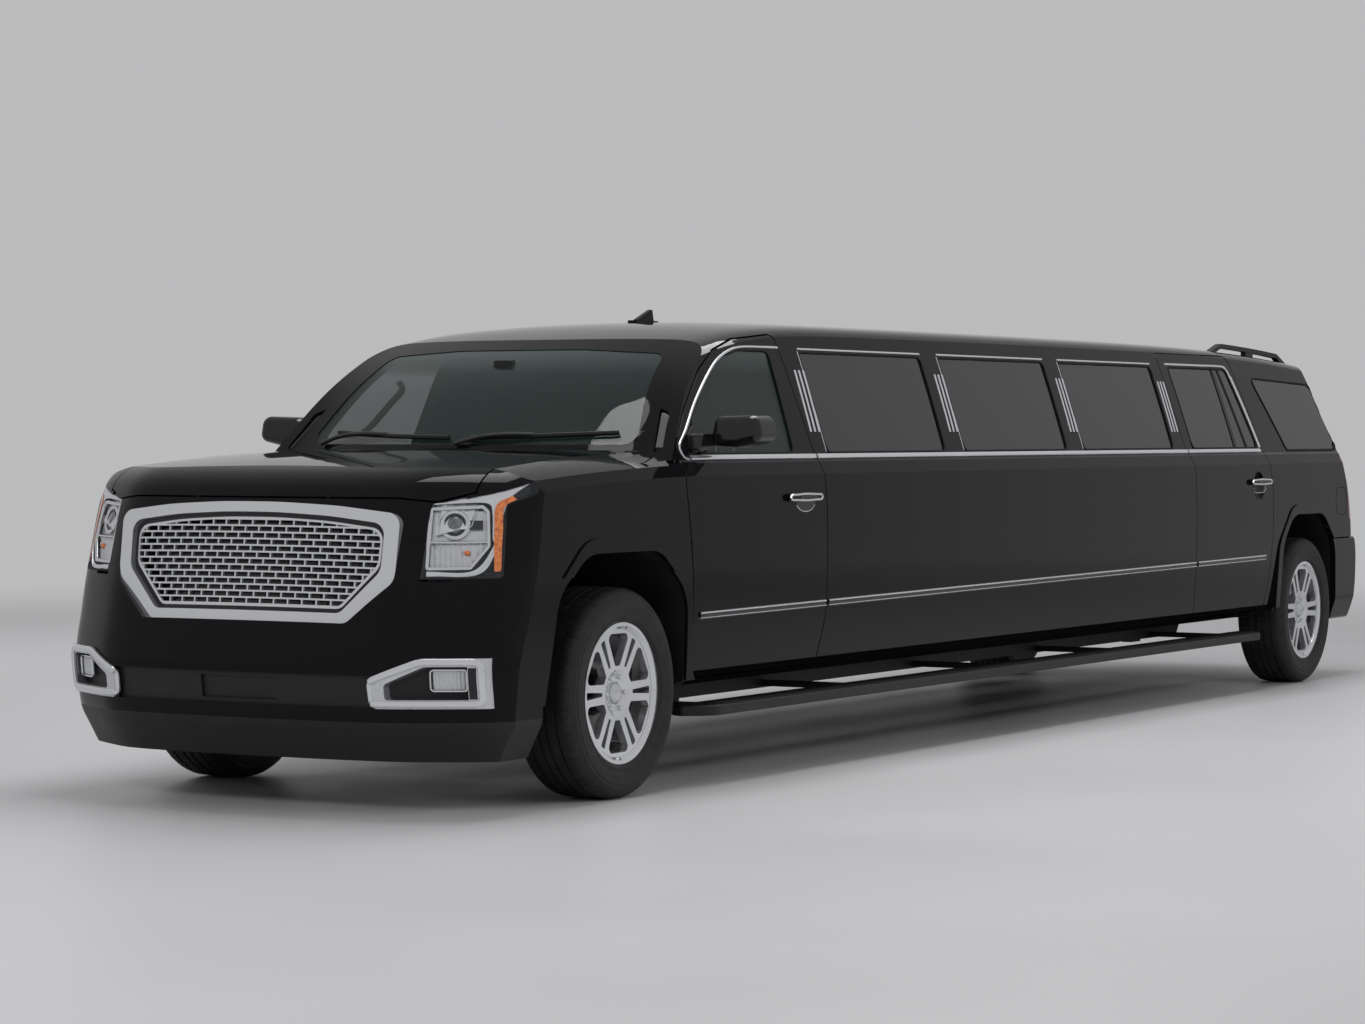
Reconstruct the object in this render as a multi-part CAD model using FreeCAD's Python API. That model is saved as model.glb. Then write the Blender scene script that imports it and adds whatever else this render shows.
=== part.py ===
"""Stretch limousine on a large sport-utility base, in millimetres.

The model is drawn from the front axle: X forward, Y to the car's left, Z up from the
ground. At export every solid moves forward by ORIGIN_SHIFT, so that the origin lies on
the ground under the middle of the car's length.
"""
import FreeCAD, Part
import math
import os

from FreeCAD import Vector

# Driving dimensions: the whole car
WHEELBASE = 7450.0
FRONT_OVERHANG = 1125.0
REAR_OVERHANG = 970.0
HALF_WIDTH = 1014.0
ROOF_HEIGHT = 1890.0
TRACK = 1745.0

# Driving dimensions: walls and gaps
WALL = 55.0
SKIN = 30.0
BUMPER_WALL = 40.0
FENDER_WALL = 30.0
SHUT_GAP = 6.5
DOOR_BEVEL = 0.32
SEAT_CLEARANCE = 0.3
GLASS_THICKNESS = 6.0
GLASS_INSET = 4.0

# Driving dimensions: wheels, tyres and steering
TYRE_RADIUS = 405.0
TYRE_WIDTH = 275.0
RIM_RADIUS = 271.0
RIM_WIDTH = 235.0
SPOKE_PAIRS = 6
HUB_RADIUS = 72.0
HUB_FACE_INSET = 36.0
DISC_RADIUS = 170.0
KINGPIN_INSET = 92.0
ARCH_TOP = 945.0
ARCH_FLARE = 58.0
FLARE_PROUD = 8.0

# Driving dimensions: heights of the body's main lines
SILL_BOTTOM = 400.0
DOOR_BOTTOM = 430.0
CREASE_HEIGHT = 1228.0
BELT_HEIGHT = 1284.0
GLASS_BOTTOM = 1316.0
GLASS_TOP = 1742.0
DRIP_HEIGHT = 1812.0
REAR_DRIP_HEIGHT = 1735.0

# Driving dimensions: places along the body, behind the front axle
DOOR_FRONT = 464.0
DOOR_LOWER_FRONT = 530.0
DOOR_REAR = 1640.0
COWL_EDGE = 225.0
HOOD_HALF_WIDTH = 832.0
HOOD_FRONT_LIFT = 14.0
HOOD_REST_Y = 300.0
REAR_DOOR_LENGTH = 1075.0
REAR_DOOR_TO_AXLE = 590.0

# Driving dimensions: the stretch windows
WINDOW_COUNT = 3
WINDOW_LENGTH = 1150.0
PILLAR_WIDTH = 200.0
WINDOW_LEAN = 40.0
FIRST_PILLAR = 88.0

# Driving dimensions: the face
GRILLE_TOP = 1150.0
GRILLE_BOTTOM = 708.0
GRILLE_HALF_WIDTH = 636.0
GRILLE_RIM = 38.0
GRILLE_SIDE_RIM = 58.0
GRILLE_GAP = 17.0
GRILLE_EDGE = 8.0
GRILLE_LEAN = 8.0
GRILLE_ROWS = 13
GRILLE_COLUMNS = 18
GRILLE_BAR = 6.5
GRILLE_BOW = 3600.0
LAMP_BOTTOM = 860.0
LAMP_INNER = 718.0
FOG_BOTTOM = 402.0
FOG_TOP = 585.0
FOG_INNER = 590.0
BUMPER_BOTTOM = 200.0

# Driving dimensions: frame and running gear
RAIL_SPACING = 860.0
RAIL_WIDTH = 70.0
RAIL_HEIGHT = 120.0
AXLE_TUBE_RADIUS = 45.0
DIFF_RADIUS = 150.0
JACK_PLACES = (-1300.0, -6300.0)
JACK_PAD = 12.0

# Worked-out places
REAR_AXLE = -WHEELBASE
ORIGIN_SHIFT = (WHEELBASE + REAR_OVERHANG - FRONT_OVERHANG) / 2
WHEEL_Y = TRACK / 2
KINGPIN_Y = WHEEL_Y - KINGPIN_INSET
REAR_DOOR_REAR = REAR_AXLE + REAR_DOOR_TO_AXLE
REAR_DOOR_FRONT = REAR_DOOR_REAR + REAR_DOOR_LENGTH
STRETCH_FRONT = -DOOR_REAR - SHUT_GAP
FRONT_TRIM = FRONT_OVERHANG - 1125.0
GRILLE_FRONT = FRONT_OVERHANG - 42
REAR_TRIM = REAR_OVERHANG - 970.0
FAR = 3000.0
CRUMB = 20000.0

nodes = {}


def wire_from(points, place):
    """Close a flat outline of (a, b, corner radius) points, set in space by place."""
    edges = []
    count = len(points)
    ends = []
    for i in range(count):
        before = points[i - 1]
        here = points[i]
        after = points[(i + 1) % count]
        radius = here[2] if len(here) > 2 else 0.0
        corner = Vector(here[0], here[1], 0)
        if radius <= 0:
            ends.append((corner, None, corner))
            continue
        back = (Vector(before[0], before[1], 0) - corner).normalize()
        ahead = (Vector(after[0], after[1], 0) - corner).normalize()
        half = back.getAngle(ahead) / 2
        reach = radius / math.tan(half)
        middle_way = (back + ahead).normalize()
        centre = corner + middle_way * (radius / math.sin(half))
        ends.append((corner + back * reach, centre - middle_way * radius, corner + ahead * reach))
    for i in range(count):
        start, middle, end = ends[i]
        if middle is not None:
            edges.append(Part.Arc(place(start), place(middle), place(end)).toShape())
        following = ends[(i + 1) % count][0]
        if end.distanceToPoint(following) > 1e-6:
            edges.append(Part.LineSegment(place(end), place(following)).toShape())
    return Part.Wire(edges)


def prism_y(points, y_from, y_to):
    """Push an outline of (x, z) points from y_from to y_to."""
    face = Part.Face(wire_from(points, lambda p: Vector(p.x, y_from, p.y)))
    return face.extrude(Vector(0, y_to - y_from, 0))


def prism_x(points, x_from, x_to):
    """Push an outline of (y, z) points from x_from to x_to."""
    face = Part.Face(wire_from(points, lambda p: Vector(x_from, p.x, p.y)))
    return face.extrude(Vector(x_to - x_from, 0, 0))


def prism_z(points, z_from, z_to):
    """Push an outline of (x, y) points from z_from to z_to."""
    face = Part.Face(wire_from(points, lambda p: Vector(p.x, p.y, z_from)))
    return face.extrude(Vector(0, 0, z_to - z_from))


def block(x_range, y_range, z_range):
    """Return a box between two limits on each axis."""
    low = Vector(min(x_range), min(y_range), min(z_range))
    return Part.makeBox(
        abs(x_range[1] - x_range[0]), abs(y_range[1] - y_range[0]), abs(z_range[1] - z_range[0]), low
    )


def rod(start, end, radius):
    """Return a round bar between two points."""
    way = end - start
    return Part.makeCylinder(radius, way.Length, start, way)


def mirrored(shape):
    """Return the same shape on the other side of the car."""
    return shape.mirror(Vector(0, 0, 0), Vector(0, 1, 0))


def curve_through(points):
    """Return a smooth curve through points."""
    curve = Part.BSplineCurve()
    curve.interpolate(points)
    return curve


def swept_face(profile, across):
    """Carry the curve across along the profile; the profile's Y holds the width factor."""
    first = curve_through(profile)
    second = curve_through(across)
    poles = [
        [Vector(p.x + c.x, p.y * c.y, p.z + c.z) for c in second.getPoles()] for p in first.getPoles()
    ]
    surface = Part.BSplineSurface()
    surface.buildFromPolesMultsKnots(
        poles, first.getMultiplicities(), second.getMultiplicities(),
        first.getKnots(), second.getKnots(), False, False, first.Degree, second.Degree,
    )
    return surface.toShape()


def both_sides(table):
    """Spread a half table of (across, drop) pairs over both sides of the car."""
    return [(-across, drop) for across, drop in table[:0:-1]] + list(table)


def table_value(table, at):
    """Read a table of (place, value) pairs, straight between the pairs."""
    if at <= table[0][0]:
        return table[0][1]
    for (a0, v0), (a1, v1) in zip(table, table[1:]):
        if at <= a1:
            share = (at - a0) / (a1 - a0)
            return v0 + (v1 - v0) * share
    return table[-1][1]


def biggest(shape):
    """Return the largest solid of a shape."""
    return max(shape.Solids, key=lambda solid: solid.Volume)


def solids_over(shape, least):
    """Return a shape's solids that hold more than the least volume."""
    return [solid for solid in shape.Solids if solid.Volume > least]


def add(name, shapes):
    """Keep a sub-part as one compound of its solids, without boolean crumbs."""
    solids = []
    for shape in shapes if isinstance(shapes, list) else [shapes]:
        solids.extend(solid for solid in shape.Solids if solid.Volume > CRUMB)
    nodes[name] = Part.makeCompound(solids)


# The nose: how far each height reaches forward at the middle, and how it falls back
NOSE_LINE = [
    (120, 940), (190, 990), (268, 1045), (348, 1098), (430, 1113), (517, 1125), (600, 1122),
    (700, 1098), (785, 1080), (857, 1062), (1000, 1020), (1100, 990), (1160, 965), (1205, 935),
    (1240, 890), (1275, 800), (1330, 600),
]
NOSE_DROP = [
    (0, 0), (150, 1.5), (300, 6), (450, 17), (560, 31), (640, 52), (720, 92), (800, 140),
    (880, 192), (940, 240), (985, 305), (1015, 420), (1040, 640),
]


def nose_solid(inset):
    """Everything behind the nose's smooth front, moved in by inset."""
    narrow = 1 - inset / HALF_WIDTH
    profile = [Vector(reach + FRONT_TRIM - inset, 1, height) for height, reach in NOSE_LINE]
    across = [Vector(-drop, y * narrow, 0) for y, drop in both_sides(NOSE_DROP)]
    return swept_face(profile, across).extrude(Vector(-FAR, 0, 0))


# The tail above the bumper, behind the rear axle, against height
TAIL_LINE = [
    (300, 880), (550, 890), (800, 890), (900, 880), (1000, 860), (1130, 815), (1259, 765), (1450, 715),
    (1668, 662), (1780, 622), (1850, 580), (1950, 500),
]
BUMPER_LINE = [(250, 860), (330, 905), (420, 940), (520, 965), (620, 970), (720, 968), (780, 950), (830, 900)]
TAIL_DROP = [(0, 0), (0.3, 7), (0.5, 20), (0.7, 46), (0.82, 78), (0.92, 122), (0.98, 165), (1.03, 230)]


def side_reach(height):
    """Half width of the body's side at a height."""
    line = [
        (200, 985), (400, 998), (600, 1010), (820, 1014), (1228, 1008), (1290, 974), (1765, 795),
        (2000, 706),
    ]
    return table_value(line, height)


def tail_solid(line, inset):
    """Everything ahead of the tail's smooth back, moved in by inset."""
    profile = [
        Vector(REAR_AXLE - reach - REAR_TRIM + inset, side_reach(height) - inset, height)
        for height, reach in line
    ]
    across = [Vector(drop, share, 0) for share, drop in both_sides(TAIL_DROP)]
    return swept_face(profile, across).extrude(Vector(2 * FAR + WHEELBASE, 0, 0))


# The roof's middle line: how far it falls below its highest point, against place
ROOF_LINE = [
    (-300, 190), (-600, 150), (-850, 116), (-1000, 88), (-1250, 48), (-1600, 17), (-2200, 3),
    (-3000, 0), (REAR_AXLE + 2400, 0), (REAR_AXLE + 1500, 4), (REAR_AXLE + 750, 15),
    (REAR_AXLE, 42), (REAR_AXLE - 550, 78), (REAR_AXLE - 850, 108), (REAR_AXLE - 1200, 160),
]
ROOF_CROWN = [
    (0, 0), (150, 1), (300, 4), (450, 10), (600, 19), (690, 29), (740, 42), (770, 60), (795, 92),
    (830, 150), (900, 220), (1000, 290), (1150, 350),
]
ROOF_SPREAD = 0.0005


def under_roof(inset):
    """Everything under the crowned roof, moved down and in by inset."""
    narrow = 1 - inset / 800.0
    profile = [Vector(at, 1 + fall * ROOF_SPREAD, ROOF_HEIGHT - fall - inset) for at, fall in ROOF_LINE]
    across = [Vector(0, y * narrow, -drop) for y, drop in both_sides(ROOF_CROWN)]
    return swept_face(profile, across).extrude(Vector(0, 0, -FAR))


# The windscreen's middle line as (height, place) and its bow across
SCREEN_LINE = [
    (-100, 1000), (600, 380), (1000, 20), (1337, -300), (1450, -410), (1561, -530), (1660, -672),
    (1746, -832), (1850, -1060), (2000, -1480),
]
SCREEN_BOW = [
    (0, 0), (150, 5), (300, 20), (500, 56), (650, 95), (750, 122), (820, 138), (900, 148), (1000, 152),
    (1150, 155),
]
SCREEN_DEPTH = 1.5


def behind_screen(inset):
    """Everything behind the bowed windscreen, moved back by inset."""
    profile = [Vector(x - inset * SCREEN_DEPTH, 1, z) for z, x in SCREEN_LINE]
    across = [Vector(-bow, y, 0) for y, bow in both_sides(SCREEN_BOW)]
    return swept_face(profile, across).extrude(Vector(-3 * FAR - WHEELBASE, 0, 0))


def cabin_wire(inset, x):
    """Outline of the cabin across the car, from the sill to above the roof."""
    half = [
        Vector(x, 925 - inset, SILL_BOTTOM + inset),
        Vector(x, 996 - inset, SILL_BOTTOM + 60 + inset),
        Vector(x, HALF_WIDTH - 6 - inset, CREASE_HEIGHT),
        Vector(x, 985 - inset, BELT_HEIGHT - 4),
        Vector(x, 974 - inset, BELT_HEIGHT + 6),
        Vector(x, 706 - inset, 2000),
    ]
    left = [
        Part.LineSegment(half[0], half[1]).toShape(),
        Part.Arc(half[1], Vector(x, HALF_WIDTH - inset, 820), half[2]).toShape(),
        Part.LineSegment(half[2], half[3]).toShape(),
        Part.LineSegment(half[3], half[4]).toShape(),
        Part.Arc(half[4], Vector(x, 846 - inset, 1650), half[5]).toShape(),
    ]
    other = [Vector(p.x, -p.y, p.z) for p in half]
    right = [
        Part.LineSegment(other[0], other[1]).toShape(),
        Part.Arc(other[1], Vector(x, -HALF_WIDTH + inset, 820), other[2]).toShape(),
        Part.LineSegment(other[2], other[3]).toShape(),
        Part.LineSegment(other[3], other[4]).toShape(),
        Part.Arc(other[4], Vector(x, -846 + inset, 1650), other[5]).toShape(),
    ]
    bottom = Part.LineSegment(other[0], half[0]).toShape()
    top = Part.LineSegment(half[5], other[5]).toShape()
    return Part.Wire([bottom] + left + [top] + right[::-1])


def cabin_solid(inset):
    """The cabin's closed form from the windscreen to the tailgate, moved in by inset."""
    rear = REAR_AXLE - REAR_OVERHANG - 200
    tube = Part.Face(cabin_wire(inset, rear)).extrude(Vector(-rear - 100, 0, 0))
    form = tube.common(under_roof(inset))
    form = form.common(behind_screen(inset))
    ahead = block((-DOOR_FRONT + 34 - inset, 500), (-1200, 1200), (0, BELT_HEIGHT + 6))
    arch_room = block((-DOOR_FRONT - 36 - inset, 500), (-1200, 1200), (0, ARCH_TOP + 30 + inset))
    form = form.cut(ahead).cut(arch_room)
    return form.common(tail_solid(TAIL_LINE, inset))


# Front clip: crease, hood edge and hood middle heights against place
CLIP_STATIONS = [
    (1250, 1165, 1212, 1226), (800, 1208, 1256, 1276), (300, 1243, 1295, 1318),
    (-100, 1262, 1316, 1340), (-560, 1273, 1328, 1352),
]


def clip_wire(station, inset):
    """Outline across the front clip at one station."""
    x, crease, edge, middle = station
    bottom = BUMPER_BOTTOM + inset * 0.5
    pts = [
        Vector(x, 930 - inset, bottom),
        Vector(x, 996 - inset, bottom + 130),
        Vector(x, HALF_WIDTH - 6 - inset, crease - 44 - inset * 0.5),
        Vector(x, 985 - inset, crease - inset),
        Vector(x, 835 - inset * 0.6, edge - inset),
    ]
    other = [Vector(p.x, -p.y, p.z) for p in pts]
    top = Vector(x, 0, middle - inset)
    shoulder = Vector(x, 915 - inset * 0.8, (crease + edge) / 2 + 5 - inset)
    shoulder_r = Vector(x, -shoulder.y, shoulder.z)
    mid = Vector(x, HALF_WIDTH - inset, 820)
    mid_r = Vector(x, -mid.y, mid.z)
    edges = [
        Part.LineSegment(other[0], pts[0]).toShape(),
        Part.LineSegment(pts[0], pts[1]).toShape(),
        Part.Arc(pts[1], mid, pts[2]).toShape(),
        Part.LineSegment(pts[2], pts[3]).toShape(),
        Part.Arc(pts[3], shoulder, pts[4]).toShape(),
        Part.Arc(pts[4], top, other[4]).toShape(),
        Part.Arc(other[4], shoulder_r, other[3]).toShape(),
        Part.LineSegment(other[3], other[2]).toShape(),
        Part.Arc(other[2], mid_r, other[1]).toShape(),
        Part.LineSegment(other[1], other[0]).toShape(),
    ]
    return Part.Wire(edges)


def clip_solid(inset):
    """The front clip's closed form, moved in by inset."""
    wires = [clip_wire(station, inset) for station in CLIP_STATIONS]
    tube = Part.makeLoft(wires, True, False)
    return tube.common(nose_solid(inset))


def arch_points(axle, front, rear, grow=0.0):
    """Side outline of a wheel opening round an axle."""
    return [
        (axle + front + grow, -50), (axle + front + grow, 400, 150), (axle + front - 75 + grow, 790, 190),
        (axle + front * 0.5 + 10, ARCH_TOP + grow, 210), (axle - rear * 0.52, ARCH_TOP + grow, 210),
        (axle - rear - grow, 770, 190), (axle - rear - 6 - grow, -50),
    ]


FRONT_ARCH = (0.0, 565.0, 470.0)
REAR_ARCH = (REAR_AXLE, 478.0, 440.0)


def arch_cut(arch, grow=0.0):
    """Left wheel opening as a cutter through the body's side."""
    return prism_y(arch_points(*arch, grow), 500, 1300)


def flare(arch, outer_form):
    """Raised lip round a wheel opening on the left side."""
    ring = prism_y(arch_points(*arch, ARCH_FLARE), HALF_WIDTH - SKIN, HALF_WIDTH + FLARE_PROUD)
    ring = ring.cut(arch_cut(arch)).cut(outer_form)
    low = block((-FAR * 4, FAR), (0, 1300), (-100, SILL_BOTTOM + 40))
    return ring.cut(low)


def front_door_points(gap=0.0):
    """Side outline of the front door; gap grows it on every side."""
    return [
        (-DOOR_LOWER_FRONT - 2 + gap, DOOR_BOTTOM - gap, 40), (-DOOR_LOWER_FRONT + 18 + gap, 850, 300),
        (-DOOR_FRONT + gap, 1215, 60), (-DOOR_FRONT + gap, 1330, 60), (-600 + gap, 1470 + gap, 200),
        (-840 + gap * 0.6, 1650 + gap, 300), (-1010, 1734 + gap, 160), (-1230, DRIP_HEIGHT - 28 + gap, 200),
        (-DOOR_REAR + 62 - gap, DRIP_HEIGHT + gap, 30), (-DOOR_REAR + 30 - gap, 1300, 100),
        (-DOOR_REAR - gap, 1100, 200), (-DOOR_REAR - gap, 640, 300),
        (-DOOR_REAR + 75 - gap, DOOR_BOTTOM - gap, 60),
    ]


def rear_door_points(gap=0.0):
    """Side outline of the rear door; gap grows it on every side."""
    front = REAR_DOOR_FRONT
    rear = REAR_DOOR_REAR
    return [
        (front + gap, DOOR_BOTTOM - gap, 40), (front + gap, 1180, 150), (front + 40 + gap, 1320, 100),
        (front + 22 + gap, DRIP_HEIGHT + gap, 30), (rear + 92 - gap, DRIP_HEIGHT + gap, 60),
        (rear + 20 - gap, 1290, 60), (rear - 35 - gap, 1080, 200), (rear - 35 - gap, 860, 150),
        (rear + 10 - gap, 600, 150), (rear + 75 - gap, DOOR_BOTTOM - gap, 50),
    ]


def front_window_points(grow=0.0):
    """Side outline of the front door's glass."""
    return [
        (-650 + grow, GLASS_BOTTOM - grow, 12), (-650 + grow, 1452, 60), (-866 + grow, 1612 + grow, 300),
        (-1050, 1708 + grow, 150), (-1230, GLASS_TOP + grow, 120), (-1486 - grow, GLASS_TOP + grow, 25),
        (-1434 - grow, GLASS_BOTTOM - grow, 25),
    ]


def stretch_window_points(index, grow=0.0):
    """Side outline of one long stretch window."""
    front = STRETCH_FRONT - FIRST_PILLAR - index * (WINDOW_LENGTH + PILLAR_WIDTH)
    rear = front - WINDOW_LENGTH
    return [
        (front + grow, GLASS_BOTTOM - grow, 25), (front - WINDOW_LEAN * 0.6 + grow, GLASS_TOP + grow, 25),
        (rear - WINDOW_LEAN - grow, GLASS_TOP + grow, 25), (rear - grow, GLASS_BOTTOM - grow, 25),
    ]


def rear_window_points(grow=0.0):
    """Side outline of the rear door's drop glass and fixed pane together."""
    front = REAR_DOOR_FRONT - 60
    rear = REAR_DOOR_REAR
    return [
        (front + grow, GLASS_BOTTOM - grow, 25), (front - 24 + grow, GLASS_TOP + grow, 25),
        (rear + 176 - grow, GLASS_TOP + grow, 40), (rear + 74 - grow, GLASS_BOTTOM - grow, 30),
    ]


def quarter_window_points(grow=0.0):
    """Side outline of the fixed glass behind the rear door."""
    return [
        (REAR_AXLE + 235 + grow, GLASS_BOTTOM - 14 - grow, 40), (REAR_AXLE + 440 + grow, 1700 + grow, 40),
        (REAR_AXLE - 470 - grow, 1672 + grow, 60), (REAR_AXLE - 575 - grow, GLASS_BOTTOM - 14 - grow, 40),
    ]


def lamp_points(gap=0.0):
    """Side outline of a headlamp."""
    return [
        (1400, LAMP_BOTTOM - gap), (790 - gap, LAMP_BOTTOM + 12 - gap, 20), (735 - gap, 1138 - gap, 30),
        (612 - gap, 1178 - gap), (594 - gap, 1226 + gap), (700, 1196 + gap), (862, 1144 + gap, 40),
        (1400, 1128 + gap),
    ]


def grille_points(side=0.0, high=0.0):
    """Front outline of the grille surround as (y, z) points, grown sideways and up and down."""
    half = GRILLE_HALF_WIDTH + side
    lower = half * 0.73
    top = GRILLE_TOP + high
    bottom = GRILLE_BOTTOM - high
    return [
        (-lower, bottom, 45), (lower, bottom, 45), (half - 4, bottom + 158, 60), (half, top - 34, 50),
        (half * 0.6, top - 10, 1800), (half * 0.2, top, 3000), (-half * 0.2, top, 3000),
        (-half * 0.6, top - 10, 1800), (-half, top - 34, 50), (-half + 4, bottom + 158, 60),
    ]


def fog_points(grow=0.0):
    """Front outline of the left fog-lamp bezel, as (y, z) points."""
    return [
        (FOG_INNER - grow, FOG_BOTTOM - grow, 15), (960, FOG_BOTTOM - grow), (960, FOG_TOP + grow),
        (FOG_INNER + 170, FOG_TOP + grow, 60), (FOG_INNER - 4 - grow, FOG_TOP - 68, 25),
    ]


# Master forms
REAR_FLOOR_START = REAR_AXLE + 640
REAR_FLOOR_BOTTOM = 640.0
BUMPER_SHELF = 800.0
GATE_LIFT = 6.0
ROOF_JOINT = -DOOR_REAR
REAR_BUMPER_START = REAR_AXLE - 400
TUB_WALL = 14.0
TUB_INNER = 625.0
LINER_INNER = 560.0
LEFT = (0, 1400)
WIDE = (-1400, 1400)
TALL = (-200, 2400)
LONG = (REAR_AXLE - 2000, 2000)


def left_of(shape):
    """Keep what lies on the left side of the car."""
    return shape.common(block(LONG, LEFT, TALL))


def raise_rear_floor(form, inset):
    """Lift the cabin's underside over the rear axle, leaving the outer skirts."""
    reach = 925 if inset == 0 else 1400
    room = block((LONG[0], REAR_FLOOR_START + inset), (-reach, reach), (0, REAR_FLOOR_BOTTOM + inset))
    return form.cut(room)


cabin_outer = raise_rear_floor(cabin_solid(0.0), 0.0)
cabin_inner = raise_rear_floor(cabin_solid(WALL), WALL)
left_cabin = left_of(cabin_outer.cut(cabin_inner))
left_glass = left_of(cabin_solid(GLASS_INSET).cut(cabin_solid(GLASS_INSET + GLASS_THICKNESS)))
clip_outer = clip_solid(0.0)
left_clip = left_of(clip_outer.cut(clip_solid(FENDER_WALL)))
left_nose = left_of(clip_outer.cut(clip_solid(BUMPER_WALL)))


def through_side(points):
    """Cut from inside the cabin out through the left side."""
    return prism_y(points, 300, 1300)


def through_door(points):
    """Cut a door outline through the left side, bevelled so that the rear edge swings clear."""
    near = 300.0
    spread = []
    for point in points:
        shift = DOOR_BEVEL * (side_reach(point[1]) - near)
        spread.append((point[0] + shift,) + tuple(point[1:]))
    face = Part.Face(wire_from(spread, lambda p: Vector(p.x, near, p.y)))
    return face.extrude(Vector(-DOOR_BEVEL * 1000, 1000, 0))


def tub(arch, inner, wall):
    """Solid outline of a left wheelhouse, up to the outer skin."""
    return prism_y(arch_points(*arch, wall), inner, HALF_WIDTH - SKIN)


def wheel_tub(arch, inner):
    """Closed liner round a left wheel."""
    shell = tub(arch, inner, TUB_WALL).cut(tub(arch, inner + TUB_WALL, 0.0))
    shell = shell.cut(block((arch[0] - 130, arch[0] + 130), (0, inner + 50), (0, TYRE_RADIUS + 130)))
    return shell.cut(block(LONG, LEFT, (-200, 420)))


def screen_outline(grow=0.0):
    """Front outline of the windscreen glass, as (y, z) points."""
    return [
        (-792 - grow, 1352 - grow, 40), (792 + grow, 1352 - grow, 40), (668 + grow, 1722 + grow, 60),
        (300, 1742 + grow, 900), (-300, 1742 + grow, 900), (-668 - grow, 1722 + grow, 60),
    ]


def tailgate_outline(grow=0.0):
    """Rear outline of the tailgate, as (y, z) points."""
    return [
        (-862 - grow, BUMPER_SHELF + GATE_LIFT - grow, 30), (862 + grow, BUMPER_SHELF + GATE_LIFT - grow, 30),
        (872 + grow, 1260, 60), (700 + grow, 1775 + grow, 60), (-700 - grow, 1775 + grow, 60),
        (-872 - grow, 1260, 60),
    ]


def tailgate_window_outline(grow=0.0):
    """Rear outline of the tailgate's glass, as (y, z) points."""
    return [
        (-770 - grow, 1300 - grow, 60), (770 + grow, 1300 - grow, 60), (650 + grow, 1700 + grow, 70),
        (-650 - grow, 1700 + grow, 70),
    ]


def tail_lamp_zone():
    """Corner of the body that each tail lamp fills."""
    front = [(REAR_AXLE - 545, 1270, 20), (REAR_AXLE - 640, 1100), (REAR_AXLE - 668, 900, 20)]
    zone = prism_y(front + [(LONG[0], 900), (LONG[0], 1270)], 885, 1300)
    return zone


def door_zone(gap=0.0):
    """The outer layer of the cabin's left side that the doors fill."""
    inner = [
        (860 - gap, 300), (HALF_WIDTH - 80 - gap, 480), (HALF_WIDTH - 80 - gap, 1200), (895 - gap, 1290),
        (722 - gap, 1765), (712 - gap, 1900), (1400, 1900), (1400, 300),
    ]
    return prism_x(inner, LONG[0], LONG[1])


def make_doors():
    """The four doors with their glass, windows cut through."""
    zone = door_zone()
    sets = (
        ("f", front_door_points, front_window_points, -DOOR_REAR + 215),
        ("r", rear_door_points, rear_window_points, REAR_DOOR_REAR + 175),
    )
    for key, outline, window, handle_x in sets:
        panel = left_cabin.common(through_door(outline())).common(zone)
        panel = biggest(panel.cut(through_side(window())))
        glass = left_glass.common(through_side(window()))
        if key == "r":
            front = REAR_DOOR_REAR + 415
            bar = [
                (front, GLASS_BOTTOM - 2), (front - 30, GLASS_TOP + 2), (front - 64, GLASS_TOP + 2),
                (front - 34, GLASS_BOTTOM - 2),
            ]
            post = left_of(cabin_outer.cut(cabin_solid(SKIN))).common(through_side(bar))
            glass = glass.cut(through_side(bar))
            panel = biggest(panel.fuse(post))
        cup = Part.makeSphere(120, Vector(handle_x, HALF_WIDTH + 88, 1112))
        strap = block((handle_x - 140, handle_x + 140), (HALF_WIDTH - 8, HALF_WIDTH + 18), (1118, 1146))
        strap = strap.makeFillet(8, strap.Edges)
        panel = biggest(panel.cut(cup).fuse(strap))
        add("door_" + key + "l", panel)
        add("door_" + key + "r", mirrored(panel))
        add("glass_" + key + "l", glass)
        add("glass_" + key + "r", mirrored(glass))


def door_buffer(x):
    """Rubber buffer on the sill that the closed door's lower edge rests against."""
    foot = Vector(x, HALF_WIDTH - 84, DOOR_BOTTOM - SHUT_GAP - 6)
    return Part.makeCylinder(11, SHUT_GAP + 6 - SEAT_CLEARANCE, foot)


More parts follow.
